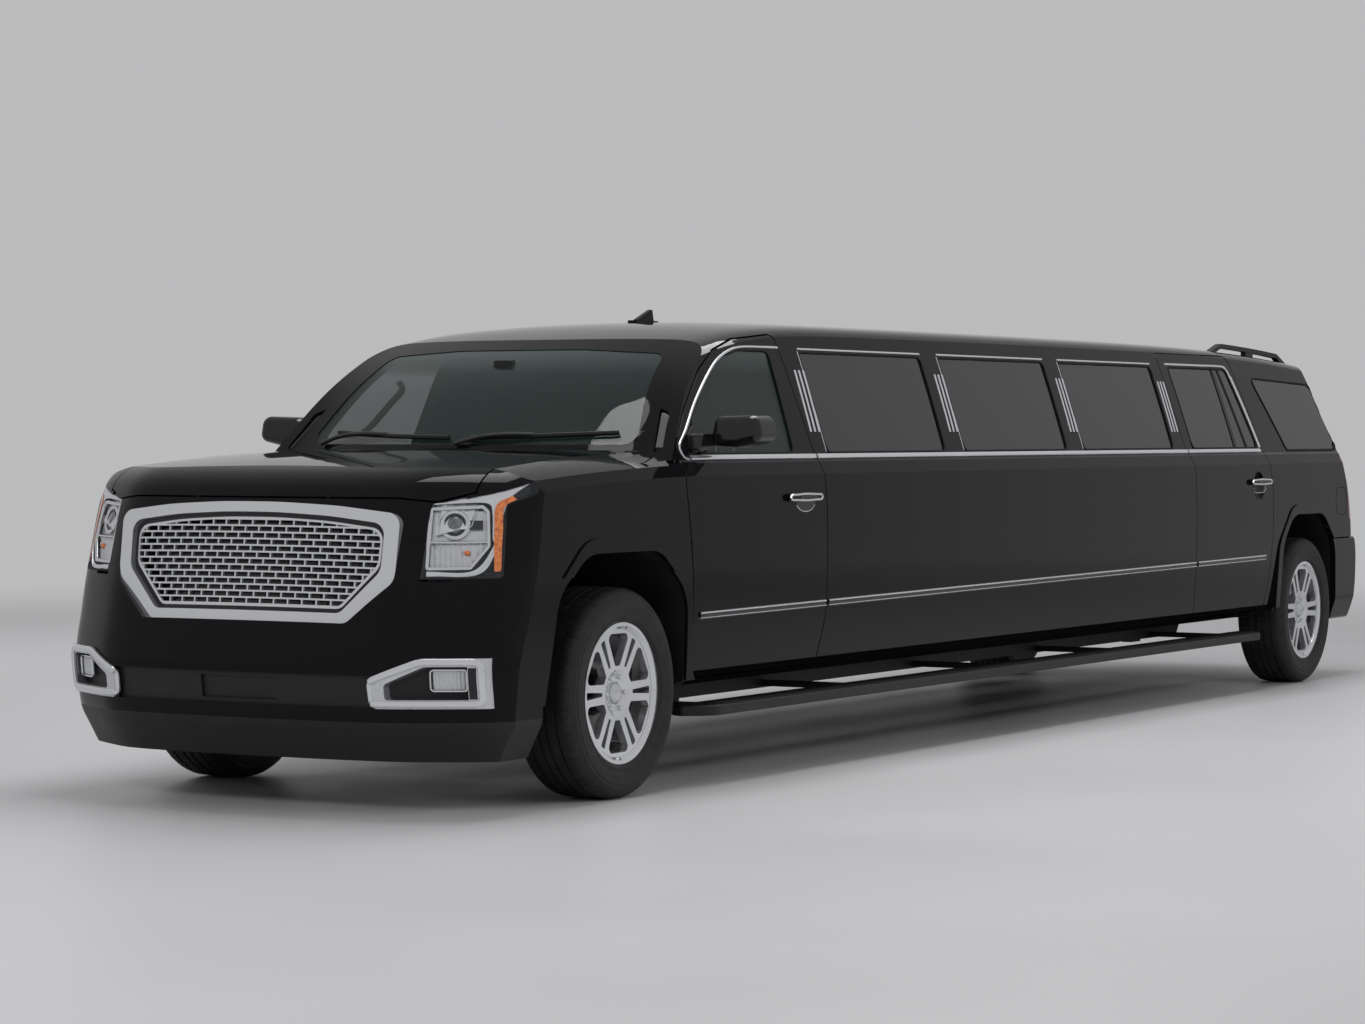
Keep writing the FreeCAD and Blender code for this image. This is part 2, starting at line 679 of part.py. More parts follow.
def make_fixed_body():
    """Split the cabin's fixed shell into floor, side panels, rear quarters and roof."""
    openings = through_door(front_door_points(SHUT_GAP)).fuse(through_door(rear_door_points(SHUT_GAP)))
    fixed = left_cabin.cut(openings.common(door_zone(SHUT_GAP)))
    gate = prism_x(tailgate_outline(), LONG[0], REAR_AXLE - 560)
    gate_gap = prism_x(tailgate_outline(SHUT_GAP), LONG[0], REAR_AXLE - 555)
    gate_frame = prism_x(tailgate_outline(SHUT_GAP), LONG[0], REAR_AXLE - 420)
    gate_gap = gate_gap.fuse(gate_frame.common(block(LONG, LEFT, (BUMPER_SHELF, 1700))))
    pane = prism_x(tailgate_window_outline(), LONG[0], REAR_AXLE - 500)
    tailgate = biggest(left_cabin.common(gate).cut(pane))
    tailgate_glass = left_glass.common(pane)
    fixed = fixed.cut(gate_gap)
    fixed = fixed.cut(block((LONG[0], REAR_BUMPER_START), (925, 1400), (0, BUMPER_SHELF)))
    fixed = fixed.cut(block((LONG[0], REAR_AXLE - 780), LEFT, (0, BUMPER_SHELF)))
    fixed = fixed.cut(block((-DOOR_LOWER_FRONT - 20, 100), (HALF_WIDTH - 45, 1400), (0, BELT_HEIGHT + 6)))
    screen = prism_x(screen_outline(), -1500, 500)
    fixed = fixed.cut(screen.common(block((-1100, 500), WIDE, (1300, 1800))))
    screen_glass = left_glass.common(screen).common(block((-1100, 500), WIDE, (1300, 1800)))
    fixed = fixed.cut(tub(REAR_ARCH, TUB_INNER, TUB_WALL)).cut(arch_cut(REAR_ARCH))
    hood_room = SHUT_GAP + 3
    hood_shell = left_of(clip_outer.cut(clip_solid(BUMPER_WALL + hood_room)))
    fixed = fixed.cut(hood_shell.common(hood_region(hood_room)))
    fixed = fixed.cut(block((LONG[0], REAR_BUMPER_START), (900, 1400), (0, BUMPER_SHELF)))

    floor_zone = block((LONG[0], 0), (0, 925 - WALL), (0, REAR_FLOOR_BOTTOM + WALL))
    bulkhead_zone = block((-DOOR_FRONT - 100, 0), LEFT, (0, 1200))
    under = floor_zone.fuse(bulkhead_zone)
    floor = fixed.common(under)
    fixed = fixed.cut(under)

    above = block(LONG, LEFT, (DRIP_HEIGHT, 2300)).fuse(block((-DOOR_REAR + 300, 500), LEFT, (0, 2300)))
    above = above.cut(block((-DOOR_REAR + 300, 500), LEFT, (0, 470)))
    above = above.fuse(block((LONG[0], REAR_DOOR_REAR + 300), LEFT, (REAR_DRIP_HEIGHT, 2300)))
    above = above.fuse(block((LONG[0], REAR_AXLE - 480), (0, 690), (1650, 2300)))
    roof = fixed.common(above)
    lower = fixed.cut(above)
    side = lower.common(block((REAR_DOOR_FRONT + 200, 500), LEFT, TALL))
    quarter = lower.common(block((LONG[0], REAR_DOOR_REAR + 300), LEFT, TALL))
    sill = lower.common(block((REAR_DOOR_REAR + 300, REAR_DOOR_FRONT + 200), LEFT, TALL))
    side = side.fuse(sill)
    for buffer_x in (-DOOR_LOWER_FRONT - 240, -DOOR_REAR + 260, REAR_DOOR_FRONT - 240, REAR_DOOR_REAR + 330):
        side = side.fuse(door_buffer(buffer_x))
    panes = []
    for index in range(WINDOW_COUNT):
        cutter = through_side(stretch_window_points(index))
        side = side.cut(cutter)
        panes.append(left_glass.common(cutter))
    cutter = through_side(quarter_window_points())
    quarter = quarter.cut(cutter)
    panes.append(left_glass.common(cutter))
    zone = tail_lamp_zone()
    lamp = quarter.common(zone)
    quarter = quarter.cut(zone)
    lip = flare(REAR_ARCH, cabin_outer).cut(through_door(rear_door_points(SHUT_GAP)))
    lip = lip.cut(block((LONG[0], REAR_BUMPER_START), LEFT, (0, BUMPER_SHELF)))
    quarter = biggest(biggest(quarter).fuse(lip))
    return floor, roof, side, quarter, lamp, tailgate, tailgate_glass, screen_glass, panes


def hood_region(gap=0.0):
    """Plan outline of the hood, pushed up through the clip."""
    rear = -COWL_EDGE - gap
    corner = -COWL_EDGE - 171 - gap
    side = HOOD_HALF_WIDTH + gap
    plan = [
        (1500, -side - 20), (1500, side + 20), (corner, side - 14), (rear, 300, 900), (rear, -300, 900),
        (corner, -side + 14),
    ]
    upper = prism_z(plan, 1000, 1500)
    front = [
        (-1300, 1195 - gap), (-HOOD_HALF_WIDTH, 1182 - gap), (-730, GRILLE_TOP - gap),
        (-600, GRILLE_TOP + HOOD_FRONT_LIFT - gap),
        (600, GRILLE_TOP + HOOD_FRONT_LIFT - gap), (730, GRILLE_TOP - gap),
        (HOOD_HALF_WIDTH, 1182 - gap), (1300, 1195 - gap),
        (1300, 1600), (-1300, 1600),
    ]
    return upper.common(prism_x(front, -800, 1500))


def make_front_clip():
    """Hood, fenders, bumper, lamps, cowl and their trims round the engine bay."""
    lamp_room = prism_y(lamp_points(), LAMP_INNER, 1400)
    lamp_gap = prism_y(lamp_points(3), LAMP_INNER - 3, 1400)
    hood = left_nose.common(hood_region()).cut(prism_y(lamp_points(SHUT_GAP), LAMP_INNER - SHUT_GAP, 1400))
    hood = biggest(hood.fuse(mirrored(hood)).removeSplitter())
    add("hood", hood)

    lamp = left_clip.common(lamp_room).cut(hood_region(SHUT_GAP))
    add("headlamps", [lamp, mirrored(lamp)])

    bumper_zone = block((300, 1500), LEFT, (0, LAMP_BOTTOM)).fuse(block(
        (300, 1500), (0, LAMP_INNER - 2), (0, GRILLE_TOP + 20),
    ))
    rear_gap = through_door(front_door_points(SHUT_GAP))
    fender = left_clip.cut(hood_region(SHUT_GAP)).cut(lamp_room).cut(rear_gap).cut(bumper_zone)
    fender = fender.common(block((-DOOR_LOWER_FRONT - 20, 1500), (HOOD_HALF_WIDTH - 14, 1400), (425, 1500)))
    tub_shape = prism_y(arch_points(*FRONT_ARCH, TUB_WALL), LINER_INNER, HALF_WIDTH - 14)
    cabin_core = cabin_outer.common(block((-900, 500), (0, HALF_WIDTH - 45), TALL))
    cabin_top = cabin_outer.common(block((-900, 500), LEFT, (BELT_HEIGHT + 6, 2000)))
    fender = fender.cut(tub_shape).cut(arch_cut(FRONT_ARCH)).cut(cabin_core).cut(cabin_top)
    lip = flare(FRONT_ARCH, clip_outer).cut(rear_gap)
    fender = biggest(biggest(fender).fuse(lip.common(block((-600, 1500), LEFT, (LAMP_BOTTOM, 1400)))))
    add("front_fenders", [fender, mirrored(fender)])

    liner = tub_shape.cut(prism_y(arch_points(*FRONT_ARCH), LINER_INNER + TUB_WALL, 1300))
    liner = liner.common(clip_solid(14.0)).cut(block((-700, 900), LEFT, (-200, 420)))
    liner = liner.cut(block((-700, 900), (0, LINER_INNER + TUB_WALL + 1), (0, ARCH_TOP - 60)))
    add("wheel_liners", [biggest(liner), mirrored(biggest(liner))])

    bumper = left_nose.common(bumper_zone).cut(lamp_gap).cut(hood_region(SHUT_GAP))
    bumper = bumper.cut(leaned(prism_x(grille_points(SEAT_CLEARANCE, SEAT_CLEARANCE), 700, 1400)))
    bumper = bumper.cut(prism_x(fog_points(SEAT_CLEARANCE), 500, 1400))
    bumper = bumper.cut(tub_shape).cut(arch_cut(FRONT_ARCH))
    trim_zone = block((700, 1400), (0, FOG_INNER - 12), (FOG_BOTTOM, 520))
    valance_zone = block((200, 1400), LEFT, (0, 350))
    bumper = bumper.cut(block((200, 460), (0, LINER_INNER), (0, 400)))
    deep = left_of(clip_outer.cut(clip_solid(14)))
    trim = bumper.common(trim_zone).cut(deep)
    plate = block((700, 1400), (0, 168), (FOG_BOTTOM + 18, 505))
    trim = trim.cut(left_of(clip_outer.cut(clip_solid(26))).common(plate))
    valance = bumper.common(valance_zone)
    bumper = bumper.cut(trim_zone).cut(valance_zone)
    edge = bumper.common(block(
        (700, 1400), (HOOD_REST_Y - 8, HOOD_REST_Y + 8), (GRILLE_TOP, GRILLE_TOP + 20),
    ))
    foot = Vector(edge.BoundBox.Center.x, HOOD_REST_Y, GRILLE_TOP)
    bumper = bumper.fuse(Part.makeCylinder(8, HOOD_FRONT_LIFT - SEAT_CLEARANCE, foot))
    bumper = bumper.fuse(mirrored(bumper)).removeSplitter()
    add("front_bumper", solids_over(bumper, 1e6))

    bezel = left_of(clip_solid(-9)).cut(clip_solid(BUMPER_WALL)).common(prism_x(fog_points(), 600, 1400))
    hole = [
        (FOG_INNER + 45, FOG_BOTTOM + 32, 12), (900, FOG_BOTTOM + 32), (900, FOG_TOP - 30),
        (FOG_INNER + 178, FOG_TOP - 30, 40), (FOG_INNER + 45, FOG_TOP - 95, 20),
    ]
    bezel = bezel.cut(prism_x(hole, 600, 1400)).cut(arch_cut(FRONT_ARCH))
    back = left_of(clip_solid(22).cut(clip_solid(BUMPER_WALL))).common(prism_x(hole, 600, 1400))
    lens_zone = [
        (FOG_INNER + 185, FOG_BOTTOM + 62, 14), (890, FOG_BOTTOM + 62, 14), (890, FOG_TOP - 40, 14),
        (FOG_INNER + 185, FOG_TOP - 40, 14),
    ]
    fog = left_of(clip_solid(6).cut(clip_solid(22))).common(prism_x(lens_zone, 600, 1400))
    add("fog_bezels", [bezel, mirrored(bezel)])
    blacks = [form.fuse(mirrored(form)).removeSplitter() for form in (valance, trim)]
    add("front_valance", blacks + [back, mirrored(back)])
    add("fog_lamps", [fog, mirrored(fog)])

    cowl_zone = block((-480, 0), (0, HOOD_HALF_WIDTH - 16), (1150, 1500))
    cowl = left_clip.common(cowl_zone).cut(hood_region(SHUT_GAP)).cut(cabin_outer)
    cowl = biggest(cowl.fuse(mirrored(cowl)).removeSplitter())
    add("cowl", cowl)


def leaned(shape):
    """Tip a shape back with the grille, round its lower front edge."""
    shape = shape.copy()
    shape.rotate(Vector(GRILLE_FRONT, 0, GRILLE_BOTTOM), Vector(0, 1, 0), -GRILLE_LEAN)
    return shape


def grille_slab(outline, setback_front, setback_back):
    """Bowed plate of an outline between two setbacks from the grille's face."""
    plate = prism_x(outline, GRILLE_FRONT - 160, GRILLE_FRONT + 60)
    low = GRILLE_BOTTOM - 200
    for setback, keep in ((setback_front, True), (setback_back, False)):
        radius = GRILLE_BOW - setback
        drum = Part.makeCylinder(radius, 900, Vector(GRILLE_FRONT - GRILLE_BOW, 0, low))
        plate = plate.common(drum) if keep else plate.cut(drum)
    return plate


def make_grille():
    """Surround, black tray and brick-pattern mesh, leaning back with the nose."""
    opening = grille_points(-GRILLE_SIDE_RIM, -GRILLE_RIM)
    inner = grille_points(-GRILLE_SIDE_RIM - GRILLE_GAP, -GRILLE_RIM - GRILLE_GAP)
    surround = grille_slab(grille_points(), 0.0, 110.0).cut(prism_x(opening, 0, 2000))
    add("grille_surround", leaned(surround))
    tray = grille_slab(opening, 27.0, 76.0).cut(grille_slab(inner, 0.0, 70.0))
    add("grille_backing", leaned(biggest(tray)))

    sheet = grille_slab(inner, 22.0, 36.0)
    spare = GRILLE_GAP + GRILLE_EDGE
    width = 2 * (GRILLE_HALF_WIDTH - GRILLE_SIDE_RIM - spare)
    base = GRILLE_BOTTOM + GRILLE_RIM + spare
    cell_w = width / GRILLE_COLUMNS
    cell_h = (GRILLE_TOP - GRILLE_RIM - spare - base) / GRILLE_ROWS
    holes = []
    for row in range(GRILLE_ROWS):
        low = base + row * cell_h + GRILLE_BAR / 2
        shift = cell_w / 2 if row % 2 else 0.0
        for column in range(-1, GRILLE_COLUMNS + 1):
            left = -width / 2 + column * cell_w + shift + GRILLE_BAR / 2
            cell = block((900, 1200), (left, left + cell_w - GRILLE_BAR), (low, low + cell_h - GRILLE_BAR))
            holes.append(cell)
    field = prism_x(grille_points(-GRILLE_SIDE_RIM - spare, -GRILLE_RIM - spare), 850, 1250)
    openings = Part.makeCompound(holes).common(field)
    add("grille_mesh", leaned(biggest(sheet.cut(Part.makeCompound(openings.Solids)))))


def make_rear_bumper():
    """Rear bumper shell with its step, hollow over the frame's end."""
    def form(inset, start):
        side = HALF_WIDTH + 2 - inset
        low = 330 + inset
        high = BUMPER_SHELF - inset
        points = [
            (-side + 40, low, 30), (side - 40, low, 30), (side, low + 120, 80), (side, high, 22),
            (-side, high, 22), (-side, low + 120, 80),
        ]
        return prism_x(points, start, LONG[0]).common(tail_solid(BUMPER_LINE, inset))

    shell = form(0, REAR_BUMPER_START).cut(form(45, REAR_BUMPER_START + 60))
    for y in (-500, 500):
        foot = Vector(REAR_AXLE - 862, y, BUMPER_SHELF - 5)
        shell = shell.fuse(Part.makeCylinder(14, 5 + GATE_LIFT - SEAT_CLEARANCE, foot))
    shell = shell.cut(block((REAR_AXLE - 780, 0), (-925, 925), (REAR_FLOOR_BOTTOM - 60, 900)))
    arches = arch_cut(REAR_ARCH).fuse(tub(REAR_ARCH, TUB_INNER, TUB_WALL))
    shell = shell.cut(arches).cut(mirrored(arches))
    add("rear_bumper", solids_over(shell, 1e6))


def make_wheel(name, axle_x, side):
    """One tyre and its twin-spoke rim."""
    y = side * WHEEL_Y
    half = TYRE_WIDTH / 2
    bead = RIM_RADIUS - 10
    profile = [
        (bead, half - 44.6), (RIM_RADIUS + 0.2, half - 20.6), (RIM_RADIUS + 6, half - 14), (330, half),
        (372, half - 8), (396, half - 24),
        (TYRE_RADIUS, half - 48), (TYRE_RADIUS, -half + 48), (396, -half + 24), (372, -half + 8),
        (330, -half),
        (RIM_RADIUS + 6, -half + 14), (RIM_RADIUS + 0.2, -half + 20.6), (bead, -half + 44.6),
    ]
    wire = Part.makePolygon([Vector(axle_x, y + b, TYRE_RADIUS + a) for a, b in profile + profile[:1]])
    axis = (Vector(axle_x, y, TYRE_RADIUS), Vector(0, 1, 0))
    tyre = Part.Face(wire).revolve(axis[0], axis[1], 360)
    add("tyre_" + name, tyre)
    rim_half = RIM_WIDTH / 2
    lip = RIM_RADIUS
    outline = [
        (lip, rim_half), (lip - 14, rim_half + 1), (lip - 26, rim_half - 12), (lip - 30, rim_half - 40),
        (lip - 36, -rim_half + 30), (lip - 20, -rim_half), (lip, -rim_half),
        (lip - 10 - 0.3, -rim_half + 24), (lip - 10 - 0.3, rim_half - 24),
    ]
    if side < 0:
        outline = [(a, -b) for a, b in outline]
    wire = Part.makePolygon([Vector(axle_x, y + b, TYRE_RADIUS + a) for a, b in outline + outline[:1]])
    barrel = Part.Face(wire).revolve(axis[0], axis[1], 360)
    dish = [
        (0, 78), (62, 82), (90, 98), (lip - 24, rim_half - 14), (lip - 28, rim_half - 44), (95, 62),
        (HUB_RADIUS + 8, HUB_FACE_INSET), (0, HUB_FACE_INSET),
    ]
    dish = [(a, side * b) for a, b in dish]
    wire = Part.makePolygon([Vector(axle_x, y + b, TYRE_RADIUS + a) for a, b in dish + dish[:1]])
    disc = Part.Face(wire).revolve(axis[0], axis[1], 360)
    cutters = []
    step = 360.0 / SPOKE_PAIRS
    for index in range(SPOKE_PAIRS):
        window = [
            (axle_x - 17, TYRE_RADIUS + 104, 10), (axle_x + 17, TYRE_RADIUS + 104, 10),
            (axle_x + 84, TYRE_RADIUS + 228, 22), (axle_x - 84, TYRE_RADIUS + 228, 22),
        ]
        slot = [
            (axle_x - 7, TYRE_RADIUS + 112, 4), (axle_x + 7, TYRE_RADIUS + 112, 4),
            (axle_x + 15, TYRE_RADIUS + 232, 8), (axle_x - 15, TYRE_RADIUS + 232, 8),
        ]
        for outline_points, turn in ((window, index * step), (slot, (index + 0.5) * step)):
            cutter = prism_y(outline_points, y - 10 * side, y + 160 * side)
            cutter.rotate(axis[0], axis[1], turn)
            cutters.append(cutter)
    disc = disc.cut(Part.makeCompound(cutters))
    add("rim_" + name, biggest(disc.fuse(barrel)))


def make_running_gear():
    """Frame rails, axles, arms, knuckles and what hangs under the floor."""
    rail_top = SILL_BOTTOM
    inner = RAIL_SPACING / 2 - RAIL_WIDTH / 2
    low = rail_top - RAIL_HEIGHT
    tail_end = REAR_AXLE - REAR_OVERHANG + 190
    side_view = [
        (1150, rail_top), (REAR_FLOOR_START, rail_top), (REAR_FLOOR_START - 210, REAR_FLOOR_BOTTOM),
        (tail_end, REAR_FLOOR_BOTTOM),
        (tail_end, REAR_FLOOR_BOTTOM - RAIL_HEIGHT + 20),
        (REAR_FLOOR_START - 240, REAR_FLOOR_BOTTOM - RAIL_HEIGHT + 20),
        (REAR_FLOOR_START - 40, low), (1150, low),
    ]
    rail = prism_y(side_view, inner, inner + RAIL_WIDTH)
    rail = rail.cut(block((700, 1400), LEFT, TALL).cut(clip_solid(BUMPER_WALL)))
    pieces = [rail, mirrored(rail)]
    for x in (840, 250, -1000, -1900, -3000, -4300, -5600, REAR_FLOOR_START + 120):
        pieces.append(block((x - 40, x + 40), (-inner, inner), (rail_top - 55, rail_top - 15)))
    for x in (REAR_AXLE + 330, REAR_AXLE - 380, tail_end + 50):
        pieces.append(block(
            (x - 40, x + 40), (-inner, inner), (REAR_FLOOR_BOTTOM - 90, REAR_FLOOR_BOTTOM - 15),
        ))
    for x in JACK_PLACES:
        for y in (-RAIL_SPACING / 2, RAIL_SPACING / 2):
            pieces.append(block((x - 60, x + 60), (y - 28, y + 28), (low - JACK_PAD, low)))
    frame = pieces[0].multiFuse(pieces[1:]).removeSplitter()
    behind = block((LONG[0], REAR_FLOOR_START + 200), WIDE, TALL)
    add("chassis_frame", frame.cut(behind))
    add("rear_frame", frame.common(behind))

    hub_face = WHEEL_Y + HUB_FACE_INSET - SEAT_CLEARANCE
    tube = rod(
        Vector(REAR_AXLE, -hub_face, TYRE_RADIUS), Vector(REAR_AXLE, hub_face, TYRE_RADIUS),
        AXLE_TUBE_RADIUS,
    )
    diff = Part.makeSphere(DIFF_RADIUS, Vector(REAR_AXLE, 0, TYRE_RADIUS))
    snout = Part.makeCone(70, 50, 160, Vector(REAR_AXLE + 120, 0, TYRE_RADIUS), Vector(1, 0, 0))
    axle = [tube, diff, snout]
    for side in (-1, 1):
        axle.append(rod(
            Vector(REAR_AXLE, side * (WHEEL_Y - 40), TYRE_RADIUS),
            Vector(REAR_AXLE, side * (WHEEL_Y - 12), TYRE_RADIUS), DISC_RADIUS,
        ))
        axle.append(rod(
            Vector(REAR_AXLE, side * (WHEEL_Y - 12), TYRE_RADIUS),
            Vector(REAR_AXLE, side * hub_face, TYRE_RADIUS), HUB_RADIUS,
        ))
        seat_y = side * (inner + RAIL_WIDTH / 2)
        axle.append(block(
            (REAR_AXLE - 55, REAR_AXLE + 55), (seat_y - 30, seat_y + 30),
            (TYRE_RADIUS, REAR_FLOOR_BOTTOM - RAIL_HEIGHT + 20),
        ))
    add("rear_axle", biggest(axle[0].multiFuse(axle[1:]).removeSplitter()))

    for key, side in (("l", 1), ("r", -1)):
        pin_y = side * KINGPIN_Y
        upright = block((-38, 38), (pin_y - 30, pin_y + 30), (TYRE_RADIUS - 165, TYRE_RADIUS + 165))
        upright = upright.makeFillet(12, upright.Edges)
        spindle = rod(Vector(0, pin_y, TYRE_RADIUS), Vector(0, side * hub_face, TYRE_RADIUS), HUB_RADIUS)
        disc = rod(
            Vector(0, side * (WHEEL_Y - 40), TYRE_RADIUS),
            Vector(0, side * (WHEEL_Y - 12), TYRE_RADIUS), DISC_RADIUS,
        )
        add("knuckle_" + key, biggest(upright.multiFuse([spindle, disc]).removeSplitter()))

    arms = []
    outer = inner + RAIL_WIDTH
    low_z = TYRE_RADIUS - 165 - SEAT_CLEARANCE
    high_z = TYRE_RADIUS + 165 + SEAT_CLEARANCE
    lower = prism_z(
        [(-175, outer - 25), (175, outer - 25), (36, KINGPIN_Y + 10, 20), (-36, KINGPIN_Y + 10, 20)],
        low_z - 38, low_z - 8,
    )
    lower = lower.cut(prism_z(
        [(-80, outer + 45, 15), (80, outer + 45, 15), (20, KINGPIN_Y - 90, 12), (-20, KINGPIN_Y - 90, 12)],
        0, 400,
    ))
    stud = rod(Vector(0, KINGPIN_Y, low_z - 20), Vector(0, KINGPIN_Y, low_z), 16)
    post = block((-170, 170), (inner + 5, outer - 5), (low_z - 38, low))
    lower = lower.multiFuse([stud, post])
    upper = prism_z(
        [(-130, outer - 25), (130, outer - 25), (30, KINGPIN_Y + 8, 16), (-30, KINGPIN_Y + 8, 16)],
        high_z + 8, high_z + 28,
    )
    upper = upper.cut(prism_z(
        [(-60, outer + 40, 12), (60, outer + 40, 12), (16, KINGPIN_Y - 80, 8), (-16, KINGPIN_Y - 80, 8)],
        400, 900,
    ))
    stud = rod(Vector(0, KINGPIN_Y, high_z), Vector(0, KINGPIN_Y, high_z + 20), 14)
    tower = block((-130, 130), (inner + 8, outer - 8), (rail_top, high_z + 28))
    upper = upper.multiFuse([stud, tower])
    for arm in (lower, upper):
        arms.extend([arm, mirrored(arm)])
    add("front_arms", arms)

    engine = block((-330, 330), (-250, 250), (rail_top + 30, 900))
    engine = engine.makeChamfer(60, [e for e in engine.Edges if abs(e.tangentAt(0).x) > 0.9])
    mounts = [
        block((-60, 60), (side * 240, side * (inner + 7.7)), (rail_top, rail_top + 90)) for side in (-1, 1)
    ]
    add("engine_block", biggest(engine.multiFuse(mounts)))

    shaft_z = 285
    bend_x = REAR_AXLE + 800
    gearbox = block((-1150, -440), (-150, 150), (215, rail_top - 55))
    gearbox = gearbox.makeFillet(40, [e for e in gearbox.Edges if abs(e.tangentAt(0).x) > 0.9])
    front_shaft = rod(Vector(-1140, 0, shaft_z), Vector(bend_x, 0, shaft_z), 38)
    rear_shaft = rod(Vector(bend_x, 0, shaft_z), Vector(REAR_AXLE + 280, 0, TYRE_RADIUS), 38)
    ball = Part.makeSphere(46, Vector(bend_x, 0, shaft_z))
    line = biggest(gearbox.multiFuse([front_shaft, rear_shaft, ball]))
    add("driveline", biggest(line.cut(nodes["rear_axle"])))


def make_outside_fittings():
    """Running boards, roof rails, antenna and door mirrors."""
    front = -DOOR_LOWER_FRONT - 20
    rear = REAR_DOOR_REAR + 110
    plan = [
        (front, 930, 25), (front - 90, 1040, 90), (rear + 90, 1040, 90), (rear, 930, 25),
        (rear + 20, 880), (front - 20, 880),
    ]
    board = prism_z(plan, 276, 318)
    flat_edges = [edge for edge in board.Edges if edge.BoundBox.ZLength < 1]
    long_edges = [edge for edge in flat_edges if edge.BoundBox.YMax > 1039 and edge.BoundBox.XLength > 3000]
    board = board.makeFillet(10, long_edges)
    outer = RAIL_SPACING / 2 + RAIL_WIDTH / 2
    bracket_places = (front - 250, -2100, -3600, -5000, rear + 250)
    brackets = [block((x - 35, x + 35), (outer, 900), (288, 312)) for x in bracket_places]
    board = biggest(board.multiFuse(brackets))
    add("running_boards", [board, mirrored(board)])

    def roof_height(x, y):
        probe = Part.makeLine(Vector(x, y, 1500), Vector(x, y, 2100))
        return probe.common(under_roof_form).BoundBox.ZMax

    rail_y = 665
    start = REAR_AXLE + 700
    end = REAR_AXLE - 590
    stations = [start + (end - start) * i / 6 for i in range(7)]
    heights = [roof_height(x, rail_y) for x in stations]
    inside = list(zip(stations, heights))[1:-1]
    outline = [(start, heights[0] - 20)] + [(x, z + 46) for x, z in inside] + [(end, heights[-1] - 20)]
    outline += [(end + 90, heights[-1] - 20)] + [(x, z + 22) for x, z in inside[::-1]]
    outline += [(start - 90, heights[0] - 20)]
    bar = prism_y(outline, rail_y - 17, rail_y + 17)
    foot = block(
        (stations[3] - 55, stations[3] + 55), (rail_y - 15, rail_y + 15),
        (heights[3] - 60, heights[3] + 30),
    )
    rail = biggest(bar.fuse(foot).cut(under_roof_form))
    add("roof_rails", [rail, mirrored(rail)])

    fin_x = -1830
    fin_z = roof_height(fin_x, 0)
    fin_points = [
        (fin_x + 95, fin_z - 20), (fin_x + 60, fin_z + 12, 20), (fin_x - 70, fin_z + 62, 10),
        (fin_x - 90, fin_z - 20),
    ]
    fin = prism_y(fin_points, -9, 9)
    foot = prism_z(
        [(fin_x + 100, -24, 20), (fin_x + 100, 24, 20), (fin_x - 95, 30, 12), (fin_x - 95, -30, 12)],
        fin_z - 20, fin_z + 8,
    )
    add("antenna", biggest(fin.fuse(foot).cut(under_roof_form)))

    outline = [(986, 1346, 24), (1014, 1464, 40), (1208, 1470, 44), (1225, 1366, 36), (1110, 1342, 60)]
    housing = prism_x(outline, -818, -668)
    rims = [e for e in housing.Edges if e.BoundBox.XLength < 0.01]
    housing = housing.makeFillet(30, [e for e in rims if e.BoundBox.XMax > -700])
    rims = [e for e in housing.Edges if e.BoundBox.XLength < 0.01 and e.BoundBox.XMax < -817]
    housing = housing.makeFillet(9, rims)
    arm = prism_y([(-560, 1322, 10), (-690, 1340, 10), (-700, 1392, 10), (-600, 1396, 14)], 880, 1010)
    mirror = biggest(housing.fuse(arm).cut(cabin_outer))
    add("mirror_l", mirror)
    add("mirror_r", mirrored(mirror))


